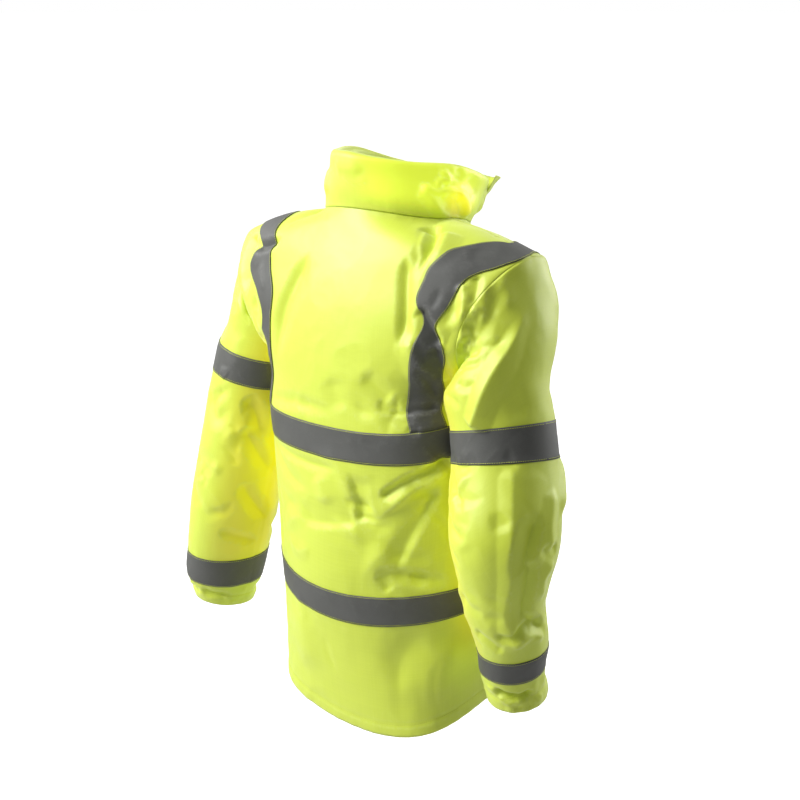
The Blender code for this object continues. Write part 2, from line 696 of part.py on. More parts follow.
def buildSleeves(cloth, tape):
    for hand in ("left", "right"):
        grid = folded(sleeveGrid(hand), "sleeve_" + hand, closed=True)
        addSheet("sleeve_" + hand, grid, wall, cloth, closed=True)
        starts = np.concatenate([[0], np.cumsum(sleeveCounts)])
        for part, section in (("upper", 4), ("lower", 8)):
            band = grid[:, starts[section]:starts[section + 1] + 1]
            addTape(f"sleeve_band_{hand}_{part}", band, tape, closed=True)


def buildZip(tapeCloth, teeth):
    places = list(levels) + [topRow + share for share, _ in collarProfile[1:4]]
    tapeGrid = frontStrip([-zipTapeHalf, 0, zipTapeHalf], places)
    sink = wall + 2 * seamGap
    addSheet("zip_tape", moved(tapeGrid, -sink), zipTapeWall, tapeCloth)
    chainGrid = frontStrip([-chainHalf, chainHalf], places)
    addSheet("zip_chain", moved(chainGrid, chainRise), wall + chainRise, teeth)


def addBlock(name, size, place, axes, material):
    """A block of the given size across, along and out of the zip."""
    bm = bmesh.new()
    bmesh.ops.create_cube(bm, size=1)
    for vert in bm.verts:
        local = [vert.co[i] * size[i] for i in range(3)]
        vert.co = place + sum(axes[i] * local[i] for i in range(3))
    return addObject(name, bm, material)


def buildSlider(metal):
    """Slider plate with a bridge over it, and the pull tab lying down the zip from its pin under the bridge."""
    foot, *axes = sliderFrame()
    across, up, outward = axes
    thick = sliderSize[2]
    body = addBlock("zip_slider", sliderSize, foot + outward * thick / 2, axes, metal)
    wide, long, high = bridgeSize
    blocks = [((wide, bridgeBar, high + bridgeSink), up * end * (long - bridgeBar) / 2
               + outward * (thick + (high - bridgeSink) / 2)) for end in (-1, 1)]
    blocks.append(((wide, long, bridgeBar), outward * (thick + high - bridgeBar / 2)))
    for i, (size, place) in enumerate(blocks):
        cutter = addBlock(f"bridge_{i}", size, foot + place, axes, metal)
        cutter.hide_render = True
        cutter.display_type = "WIRE"
        join = body.modifiers.new("bridge", "BOOLEAN")
        join.operation = "UNION"
        join.object = cutter

    bm = bmesh.new()
    bmesh.ops.create_grid(bm, x_segments=3, y_segments=3, size=1)
    columns = (-pullWidth / 2, -slotWidth / 2, slotWidth / 2, pullWidth / 2)
    rows = (-pullLength, -pullPin / 2 - slotLength, -pullPin / 2, pullPin / 2)
    for vert in bm.verts:
        i, j = round((vert.co.x + 1) * 1.5), round((vert.co.y + 1) * 1.5)
        vert.co = (columns[i], 0, rows[j])
    slot = min(bm.faces, key=lambda f: (f.calc_center_median() - Vector((0, 0, rows[1] / 2))).length)
    bmesh.ops.delete(bm, geom=[slot], context="FACES")
    pull = addObject("zip_pull", bm, metal)
    pull.location = foot - up * pinDrop + outward * (thick + (high - bridgeBar) / 2)
    pull.rotation_euler.x = atan2(-up[1], up[2])
    solidify = pull.modifiers.new("wall", "SOLIDIFY")
    solidify.thickness = pullWall
    solidify.offset = 0


def buildFlap(cloth):
    """Storm flap over the zip: sewn to the left front, its right edge free and standing off."""
    places = list(levels) + [topRow + share for share in (0.34, 0.66, 0.87, 1.0, 1 + flapTip)]
    across = np.linspace(-flapHalf, flapHalf, 5)
    grid = frontStrip(across, places)
    lift = np.interp(places, [r[0] for r in flapRows], [r[1] for r in flapRows])
    least = flapRows[0][1]
    share = smooth(flapHalf, flapHalf * 0.25, across)
    share = (share - flapDrop * smooth(-flapHalf * 0.25, -flapHalf, across))[:, None]
    bent = unit(gridNormals(grid) + np.array([0, -flapLean, 0]) * smooth(9.0, 12.0, np.array(places))[:, None])
    grid = moved(grid, least) + bent * ((lift - least) * share)[..., None]
    addSheet("storm_flap", grid, flapWall, cloth, inward=False)


def main():
    clearScene()
    cloth = makeMaterial("hi_vis_cloth")
    tape = makeMaterial("reflective_tape")
    grids = buildBody(cloth, tape)
    buildBraces(grids, tape)
    buildSleeves(cloth, tape)
    addSheet("collar", collarGrid(), wall, cloth)
    buildZip(makeMaterial("zip_tape"), makeMaterial("zip_teeth"))
    buildSlider(makeMaterial("zip_metal"))
    buildFlap(cloth)


main()
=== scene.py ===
from math import cos, pi, radians, sin

import bpy
import numpy as np
from mathutils import Matrix, Vector, noise


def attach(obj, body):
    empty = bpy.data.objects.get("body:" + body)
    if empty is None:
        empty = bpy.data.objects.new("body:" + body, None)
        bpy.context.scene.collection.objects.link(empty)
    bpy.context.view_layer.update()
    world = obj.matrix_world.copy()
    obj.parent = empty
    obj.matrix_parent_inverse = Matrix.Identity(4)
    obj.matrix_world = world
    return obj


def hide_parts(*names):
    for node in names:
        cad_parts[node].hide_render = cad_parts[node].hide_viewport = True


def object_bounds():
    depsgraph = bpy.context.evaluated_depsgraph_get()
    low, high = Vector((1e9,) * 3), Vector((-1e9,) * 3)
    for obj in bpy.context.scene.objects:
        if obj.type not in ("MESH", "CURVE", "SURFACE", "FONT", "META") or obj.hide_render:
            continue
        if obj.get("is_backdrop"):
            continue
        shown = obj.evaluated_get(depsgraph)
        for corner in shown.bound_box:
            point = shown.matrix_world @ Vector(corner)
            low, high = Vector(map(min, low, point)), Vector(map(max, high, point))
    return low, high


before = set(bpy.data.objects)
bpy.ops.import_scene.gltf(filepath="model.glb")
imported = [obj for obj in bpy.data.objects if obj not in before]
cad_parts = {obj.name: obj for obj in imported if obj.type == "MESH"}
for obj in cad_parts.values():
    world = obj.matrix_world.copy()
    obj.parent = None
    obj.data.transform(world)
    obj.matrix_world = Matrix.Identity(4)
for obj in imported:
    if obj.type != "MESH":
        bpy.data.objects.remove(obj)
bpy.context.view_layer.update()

print("frame loaded:", len(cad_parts), "nodes")


def smooth(low, high, x):
    t = np.clip((x - low) / (high - low), 0, 1)
    return t * t * (3 - 2 * t)


def unit(v):
    return v / np.maximum(np.linalg.norm(v, axis=-1, keepdims=True), 1e-12)


# smooth curve through rows (first axis) at the given places, knots unevenly spaced
def through(rows, knots, place):
    last = len(knots) - 1
    j = np.clip(np.searchsorted(knots, place, side="right") - 1, 0, last - 1)

    def row(i):
        i = np.clip(i, 0, last)
        return np.take_along_axis(rows, i[None, ..., None] + np.zeros((1,) + rows.shape[1:], int), 0)[0]

    def knot(i):
        return knots[np.clip(i, 0, last)]

    def slope(i):
        before = np.maximum(knot(i) - knot(i - 1), 1e-9)[..., None]
        after = np.maximum(knot(i + 1) - knot(i), 1e-9)[..., None]
        inside = (row(i) - row(i - 1)) / before * after + (row(i + 1) - row(i)) / after * before
        ends = (row(i + 1) - row(i - 1)) / (knot(i + 1) - knot(i - 1))[..., None]
        return np.where(((i <= 0) | (i >= last))[..., None], ends, inside / (before + after))

    h = (knot(j + 1) - knot(j))[..., None]
    t = ((place - knot(j))[..., None]) / h
    return ((2 * t**3 - 3 * t**2 + 1) * row(j) + (t**3 - 2 * t**2 + t) * h * slope(j)
            + (3 * t**2 - 2 * t**3) * row(j + 1) + (t**3 - t**2) * h * slope(j + 1))


# closed smooth curve through a table whose first column is evenly spaced round the ring
def ringThrough(table, degrees):
    points = np.array(table, float)[:, 1:]
    count = len(points)
    place = np.asarray(degrees, float) % 360 / 360 * count
    j = np.floor(place).astype(int)
    t = (place - j)[..., None]
    a, b, c, d = (points[(j + i) % count] for i in (-1, 0, 1, 2))
    return 0.5 * (2 * b + (c - a) * t + (2 * a - 5 * b + 4 * c - d) * t**2 + (3 * b - a - 3 * c + d) * t**3)


# smooth open curve through a few table points
def curveThrough(points, count=30):
    table = np.array(points, float)
    rows = np.repeat(table[:, None], count, axis=1)
    return through(rows, np.arange(len(table), dtype=float), np.linspace(0, len(table) - 1, count))


def tableAt(rows, place, column):
    return np.interp(place, [r[0] for r in rows], [r[column] for r in rows])


def gridNormals(grid, closed=False):
    if closed:
        across = np.roll(grid, -1, axis=0) - np.roll(grid, 1, axis=0)
    else:
        across = np.gradient(grid, axis=0)
    return unit(np.cross(across, np.gradient(grid, axis=1)))


# value of a grid at fractional column and row numbers
def sampled(grid, columns, rows):
    columns = np.clip(columns, 0, grid.shape[0] - 1)
    rows = np.clip(rows, 0, grid.shape[1] - 1)
    i = np.minimum(columns.astype(int), grid.shape[0] - 2)
    j = np.minimum(rows.astype(int), grid.shape[1] - 2)
    s, t = (columns - i)[..., None], (rows - j)[..., None]
    return ((grid[i, j] * (1 - s) + grid[i + 1, j] * s) * (1 - t)
            + (grid[i, j + 1] * (1 - s) + grid[i + 1, j + 1] * s) * t)


def numberOf(value, values):
    sign = 1 if values[-1] > values[0] else -1
    return np.interp(np.asarray(value, float) * sign, np.asarray(values) * sign, np.arange(len(values)))


def noiseAt(places):
    values = [noise.noise(Vector(p)) for p in places.reshape(-1, 3)]
    return np.array(values).reshape(places.shape[:-1])


# turned, so that the noise's own cells don't run along the panels
noiseTurn = np.array(Matrix.Rotation(0.9, 3, Vector((1, 2, 3)).normalized()))


def noiseOver(grid, size, seed=0.0):
    return noiseAt(grid @ noiseTurn / size + seed)


# distance of each point of a line from its start
def lengthsAlong(line):
    return np.concatenate([[0], np.cumsum(np.linalg.norm(np.diff(line, axis=0), axis=1))])


# points of a line at places between its knots
def alongLine(places, knots, line, **ends):
    return np.stack([np.interp(places, knots, line[:, i], **ends) for i in range(3)], -1)


def ringed(grid, closed):
    return np.concatenate([grid, grid[:1]]) if closed else grid


def cellCorners(grid):
    return grid[:-1, :-1], grid[1:, :-1], grid[1:, 1:], grid[:-1, 1:]


body = {
    "spacing": 0.0035,            # between points of the cloth
    "backWidth": 0.62,            # the back's columns are counted over this, each front's over half
    "measuredAt": 0.7,            # share of the half width where the sections' spacing is measured
    "shift": -0.014,              # the body below the arms stands this far to the right
    "shoulderTilt": -0.045,
    "shoulderCrown": 0.006,
    "neckShare": 0.47,            # share of each half taken by the neck at the shoulder line
    "neckBack": (0.093, 0.008),
    "neckSide": (0.112, -0.002, -0.012),
    "neckFront": (-0.128, -0.048),
    "frontEdge": 0.0055,          # from the middle of the zip to each front's edge
    "neckBlend": (-0.04, 0.08),   # about neckShare, where the cloth runs on over the shoulder
    "squareAbove": 0.03,          # squareness of the sections above the armpit
    "sideBlend": 0.55,            # back and front run together from this share of the half width
    # height at the back, half width, depth back, depth front, middle, squareness,
    # rise at the front, rise at the sides, sideways tilt
    "low": [
        (-0.8275, 0.1940, 0.1378, 0.1380, -0.0035, 0.0650, 0.0791, 0.0210, -0.0065),   # hem
        (-0.7181, 0.2019, 0.1445, 0.1420, 0.0043, 0.0357, 0.0599, 0.0171, -0.0261),    # skirt
        (-0.6337, 0.2079, 0.1496, 0.1450, 0.0103, 0.0094, 0.0452, 0.0140, -0.0413),    # lower band
        (-0.5837, 0.2115, 0.1527, 0.1480, 0.0138, 0.0000, 0.0364, 0.0123, -0.0502),
        (-0.4744, 0.2087, 0.1575, 0.1530, 0.0106, 0.0132, 0.0340, 0.0087, -0.0570),    # waist
        (-0.3650, 0.2028, 0.1619, 0.1580, 0.0043, 0.0480, 0.0365, 0.0054, -0.0600),    # chest band
        (-0.3150, 0.2015, 0.1629, 0.1580, 0.0028, 0.0559, 0.0370, 0.0046, -0.0607),
    ],
    # place on the armhole in degrees, back height, back depth, front height, front depth, turn
    "high": [
        (180, -0.268, 0.166, -0.245, -0.160, 88),     # armpit
        (142, -0.215, 0.163, -0.205, -0.160, 74),     # blade
        (105, -0.152, 0.153, -0.162, -0.157, 62),     # chest
        (70, -0.090, 0.135, -0.122, -0.152, 54),      # yoke
        (35, -0.028, 0.110, -0.084, -0.142, 46),      # nape
    ],
    # armhole seam: degrees from the shoulder over the back, out, fore-aft, up
    "armhole": [
        (0, 0.283, 0.012, -0.052), (45, 0.262, 0.076, -0.084), (90, 0.228, 0.110, -0.150),
        (135, 0.208, 0.084, -0.222), (180, 0.203, 0.020, -0.262), (225, 0.200, -0.050, -0.225),
        (270, 0.210, -0.088, -0.150), (315, 0.250, -0.060, -0.086),
    ],
}

pitRow = len(body["low"])
topRow = pitRow + len(body["high"])


# share of the way out and of the depth, along a quarter round of the given turn
def arc(u, turn, square):
    def out(t):
        return (np.sin(t) + square * np.sin(3 * t)) / (1 - square)

    def deep(t):
        return (np.cos(t) - square * np.cos(3 * t)) / (1 - square)

    return out(u * turn) / out(turn), (deep(u * turn) - deep(turn)) / (deep(0) - deep(turn))


def armhole(degrees, side):
    return ringThrough(body["armhole"], np.asarray(degrees, float) * side)


def lowSection(row, side, u):
    height, half, depthBack, depthFront, middle, square, frontRise, sideRise, tilt = row
    out, deep = arc(u, pi / 2, square)
    facing = side * np.cos(u * pi / 2)
    x = half * out
    y = middle + side * (depthBack if side > 0 else depthFront) * deep
    z = height + frontRise * (1 - facing) / 2 + sideRise * (1 - facing**2) + tilt * x
    return np.stack([x + body["shift"], y, z], -1)


def highSection(index, side, u):
    place, backHeight, backDepth, frontHeight, frontDepth, turn = body["high"][index]
    edge = armhole(place, side)
    height, depth = (backHeight, backDepth) if side > 0 else (frontHeight, frontDepth)
    out, deep = arc(np.abs(u), radians(turn), body["squareAbove"])
    share = (index + 1) / len(body["high"])
    x = np.sign(u) * edge[0] * out
    y = edge[1] + (depth - edge[1]) * deep
    tilt = body["low"][-1][-1] * (1 - share) + body["shoulderTilt"] * share
    z = height + (edge[2] - height) * u * u + tilt * x
    return np.stack([x + body["shift"] * (1 - share), y, z], -1)


# neck seam in the middle, then the shoulder seam out to the armhole
def shoulderLine(side, u):
    a = np.abs(u)
    s = np.clip(a / body["neckShare"], 0, 1) * pi / 2
    r = np.clip((a - body["neckShare"]) / (1 - body["neckShare"]), 0, 1)
    depth, height = body["neckBack"] if side > 0 else body["neckFront"]
    outer, aft, up = body["neckSide"]
    top = body["armhole"][0][1:]
    x = outer * np.sin(s) + (top[0] - outer) * r
    y = aft + (depth - aft) * np.cos(s) + (top[1] - aft) * r
    z = up + (height - up) * np.cos(s)**1.5 + (top[2] - up) * r
    x = np.sign(u) * x
    return np.stack([x, y, z + body["shoulderCrown"] * np.sin(r * pi) + body["shoulderTilt"] * x], -1)


def bodySection(index, side, u):
    if index < pitRow:
        return lowSection(body["low"][index], side, u)
    if index < topRow:
        return highSection(index - pitRow, side, u)
    return shoulderLine(side, u)


sectionPlaces = [bodySection(i, 1, np.array(body["measuredAt"])) for i in range(topRow + 1)]
bodyHeights = lengthsAlong(sectionPlaces)


def loosePoint(u, v, side):
    rows = [bodySection(i, side, u) for i in range(topRow + 1)]
    over = bodySection(topRow - 1, -side, u)
    beyond = 2 * rows[-1] - rows[-2]
    inner, outer = body["neckBlend"]
    share = smooth(body["neckShare"] + inner, body["neckShare"] + outer, np.abs(u))[..., None]
    rows.append(beyond * (1 - share) + over * share)
    knots = np.append(bodyHeights, 2 * bodyHeights[-1] - bodyHeights[-2])
    return through(np.stack(rows), knots, np.interp(v, range(topRow + 1), bodyHeights))


# outer face of the body: u -1 right to 1 left, v in sections from the hem, side 1 back or -1 front
def bodyPoint(u, v, side):
    u, v = np.broadcast_arrays(np.asarray(u, float), np.asarray(v, float))
    point = loosePoint(u, v, side)
    seam = np.where(u < 0, -1.0, 1.0)
    share = (smooth(body["sideBlend"], 1, np.abs(u)) * (v < pitRow))[..., None]
    return point + (loosePoint(seam, v, -side) - loosePoint(seam, v, side)) / 2 * share


# shares of the half width per metre, measured over a small step from the middle
def sharesPerMetre(level, step=0.02):
    near = bodyPoint(np.array([0.0, step]), np.full(2, level), -1)
    return step / np.linalg.norm(near[1] - near[0])


rowCount = round(bodyHeights[-1] / body["spacing"])
bodyRows = np.interp(np.linspace(0, bodyHeights[-1], rowCount), bodyHeights, range(topRow + 1))


def bodyPanel(side, hand=0):
    columns = round(body["backWidth"] / (1 if side > 0 else 2) / body["spacing"])
    if side > 0:
        shares = np.linspace(1, -1, columns)
        grid = np.stack([bodyPoint(shares, np.full(columns, v), 1) for v in bodyRows], axis=1)
        return {"grid": grid, "columns": shares, "rows": bodyRows}
    shares = np.linspace(0, 1, columns) * hand
    if hand < 0:
        shares = shares[::-1]
    strips = []
    for v in bodyRows:
        edge = body["frontEdge"] * sharesPerMetre(v)
        strips.append(bodyPoint(hand * edge + shares * (1 - edge), np.full(columns, v), -1))
    return {"grid": np.stack(strips, axis=1), "columns": shares, "rows": bodyRows}


sleeves = {
    "spacing": 0.0029,
    "around": 0.52,               # columns and rows are counted over this girth and this length
    "length": 0.67,
    "clear": 0.0060,              # the sleeves stand this far off the body
    "clearTop": -0.20,            # but not above this height
    "shiftFrom": (-0.15, -0.27),  # the body's own shift sets in between these heights
    "soft": 0.006,
    # out, fore-aft, up, long radius, short radius, turn, fore tilt, spin
    "left": [
        (0.242, 0.006, -0.160, 0.095, 0.088, 62, 0, 0), (0.243, 0.014, -0.195, 0.083, 0.085, 38, 3, 0),
        (0.253, 0.021, -0.232, 0.077, 0.080, 20, 5, 0), (0.265, 0.030, -0.268, 0.078, 0.078, 10, 5, 0),
        (0.277, 0.037, -0.317, 0.078, 0.078, 9, 6, 0), (0.294, 0.066, -0.455, 0.074, 0.071, 9, 6, 45),
        (0.314, 0.072, -0.560, 0.075, 0.066, 7, 0, 45), (0.332, 0.073, -0.635, 0.072, 0.060, 3, -5, 45),
        (0.344, 0.073, -0.690, 0.066, 0.055, 5, -3, 45), (0.350, 0.070, -0.732, 0.052, 0.046, 7, 0, 45),
    ],
    "right": [
        (0.246, 0.012, -0.155, 0.097, 0.088, 62, 0, 0), (0.248, 0.024, -0.190, 0.086, 0.087, 38, 4, 0),
        (0.252, 0.048, -0.235, 0.081, 0.083, 20, 8, 0), (0.267, 0.052, -0.284, 0.079, 0.079, 15, 7, 0),
        (0.279, 0.060, -0.334, 0.080, 0.080, 13, 9, 0), (0.305, 0.093, -0.440, 0.086, 0.085, 6, 6, 45),
        (0.308, 0.089, -0.540, 0.071, 0.061, 3, -4, 45), (0.312, 0.071, -0.613, 0.064, 0.053, 5, -5, 45),
        (0.303, 0.060, -0.653, 0.062, 0.050, 3, -6, 45), (0.302, 0.046, -0.704, 0.060, 0.047, 3, -9, 45),
    ],
    # what they stay clear of: height, half width, depth, squareness
    "side": [
        (-0.83, 0.194, 0.138, 2.4), (-0.60, 0.211, 0.152, 2.3), (-0.47, 0.209, 0.157, 2.3),
        (-0.34, 0.203, 0.162, 2.6), (-0.27, 0.206, 0.160, 3.2), (-0.20, 0.205, 0.138, 3.6),
    ],
}


def armholeLevel(degrees):
    across = np.abs((np.asarray(degrees) + 180) % 360 - 180)
    places = [r[0] for r in body["high"]] + [0]
    return np.interp(across, places[::-1], range(topRow, pitRow - 1, -1))


def clearOfBody(points, sign):
    half, depth, square = (tableAt(sleeves["side"], points[..., 2], c) for c in (1, 2, 3))
    away = np.clip(np.abs(points[..., 1]) / depth, 0, 1)
    shift = sign * body["shift"] * smooth(*sleeves["shiftFrom"], points[..., 2])
    limit = half * (1 - away**square)**(1 / square) + shift + sleeves["clear"]
    limit = np.where(points[..., 2] > sleeves["clearTop"], -1, limit)
    out = points[..., 0] * sign
    clear = points.copy()
    clear[..., 0] = sign * (out + limit + np.sqrt((out - limit)**2 + sleeves["soft"]**2)) / 2
    return np.where((out > limit + 3 * sleeves["soft"])[..., None], points, clear)


# rings down the sleeve, degrees 0 outside, 90 back, 180 inside, 270 front; level 0 is the armhole
def sleevePanel(hand):
    sign = 1 if hand == "left" else -1
    count = round(sleeves["around"] / sleeves["spacing"])
    degrees = np.linspace(0, 360, count, endpoint=False)
    if sign > 0:
        degrees = degrees[::-1]
    back = (degrees <= 180)[:, None]
    level = armholeLevel(degrees)
    seam = np.full(count, float(sign))
    head = np.where(back, bodyPoint(seam, level, 1), bodyPoint(seam, level, -1))
    rings, centres = [head], [head.mean(axis=0)]
    for out, aft, up, long, short, turn, tilt, spin in sleeves[hand]:
        outward = np.array([sign * cos(radians(turn)), 0, sin(radians(turn))])
        aftward = np.array([0, cos(radians(tilt)), sin(radians(tilt))])
        angle = np.radians(degrees - spin)[:, None]
        along, across = long * np.cos(angle), short * np.sin(angle)
        s = radians(spin)
        centres.append(np.array([sign * out, aft, up]))
        rings.append(centres[-1] + (along * cos(s) - across * sin(s)) * outward
                     + (along * sin(s) + across * cos(s)) * aftward)
    knots = lengthsAlong(centres)
    down = np.linspace(0, knots[-1], round(sleeves["length"] / sleeves["spacing"]))
    levels = np.interp(down, knots, range(len(knots)))
    grid = np.stack([through(np.stack(rings), knots, np.full(count, d)) for d in down], axis=1)
    grid[:, 1:] = clearOfBody(grid[:, 1:], sign)
    return {"grid": grid, "columns": degrees, "rows": levels, "closed": True}


collar = {
    "spacing": 0.0032,
    "around": 0.62,               # columns and rows are counted over these
    "upAndIn": 0.19,
    "height": 0.085,
    # top edge round the neck from the back: degrees, out, fore-aft, up
    "top": [
        (0, 0.000, 0.091, 0.090), (30, 0.038, 0.077, 0.086), (60, 0.073, 0.041, 0.080),
        (90, 0.104, -0.024, 0.073), (120, 0.094, -0.098, 0.050), (150, 0.047, -0.163, 0.029),
        (180, 0.000, -0.201, 0.021),
    ],
    "tilt": 0.040,                # its left side stands higher
    # share of the height, outwards: up the outer side, over the rolled rim, down inside
    "profile": [
        (0.00, 0.000), (0.34, 0.0040), (0.66, 0.0048), (0.87, 0.0075), (0.97, 0.0060),
        (1.00, -0.003), (0.95, -0.011), (0.76, -0.012), (0.42, -0.010), (0.12, -0.007),
    ],
}


# share of the half width at the neck seam, from 0 degrees at the back through 90 at the left to 180
def neckShares(degrees):
    away = np.abs(degrees)
    return np.where(away <= 90, away, 180 - away) / 90 * body["neckShare"] * np.where(degrees < 0, -1, 1)


def neckSeam(degrees):
    u = neckShares(degrees)
    return np.where((np.abs(degrees) <= 90)[..., None], shoulderLine(1, u), shoulderLine(-1, u))


def collarEdge(degrees):
    mirrored = [(360 - d, -x, y, z) for d, x, y, z in collar["top"][-2:0:-1]]
    edge = ringThrough(collar["top"] + mirrored, degrees)
    edge[..., 2] += collar["tilt"] * edge[..., 0]
    return edge


def collarPoint(degrees, share, outwards):
    base, top = neckSeam(degrees), collarEdge(degrees)
    tangent = collarEdge(degrees + 1) - collarEdge(degrees - 1)
    normal = unit(np.cross(top - base, tangent))
    return base + (top - base) * np.asarray(share)[..., None] + normal * np.asarray(outwards)[..., None]


# metres in one degree of the collar at the middle of the front
def collarDegree(share):
    near = collarPoint(np.array([179.0, 180.0]), np.full(2, share), np.zeros(2))
    return np.linalg.norm(near[1] - near[0])


def collarPanel(pathSteps=400):
    end = 180 - body["frontEdge"] / collarDegree(0.5)
    degrees = np.linspace(-end, end, round(collar["around"] / collar["spacing"]))
    count = round(collar["upAndIn"] / collar["spacing"])
    path = curveThrough(collar["profile"], pathSteps)
    length = lengthsAlong(path * [collar["height"], 1])
    even = np.interp(np.linspace(0, length[-1], count), length, np.arange(pathSteps))
    share, out = (np.interp(even, np.arange(pathSteps), path[:, c]) for c in (0, 1))
    rows = even / (pathSteps - 1) * (len(collar["profile"]) - 1)
    d, s = np.meshgrid(degrees, share, indexing="ij")
    o = np.broadcast_to(out, d.shape)
    return {"grid": collarPoint(d, s, o), "columns": degrees, "rows": rows}


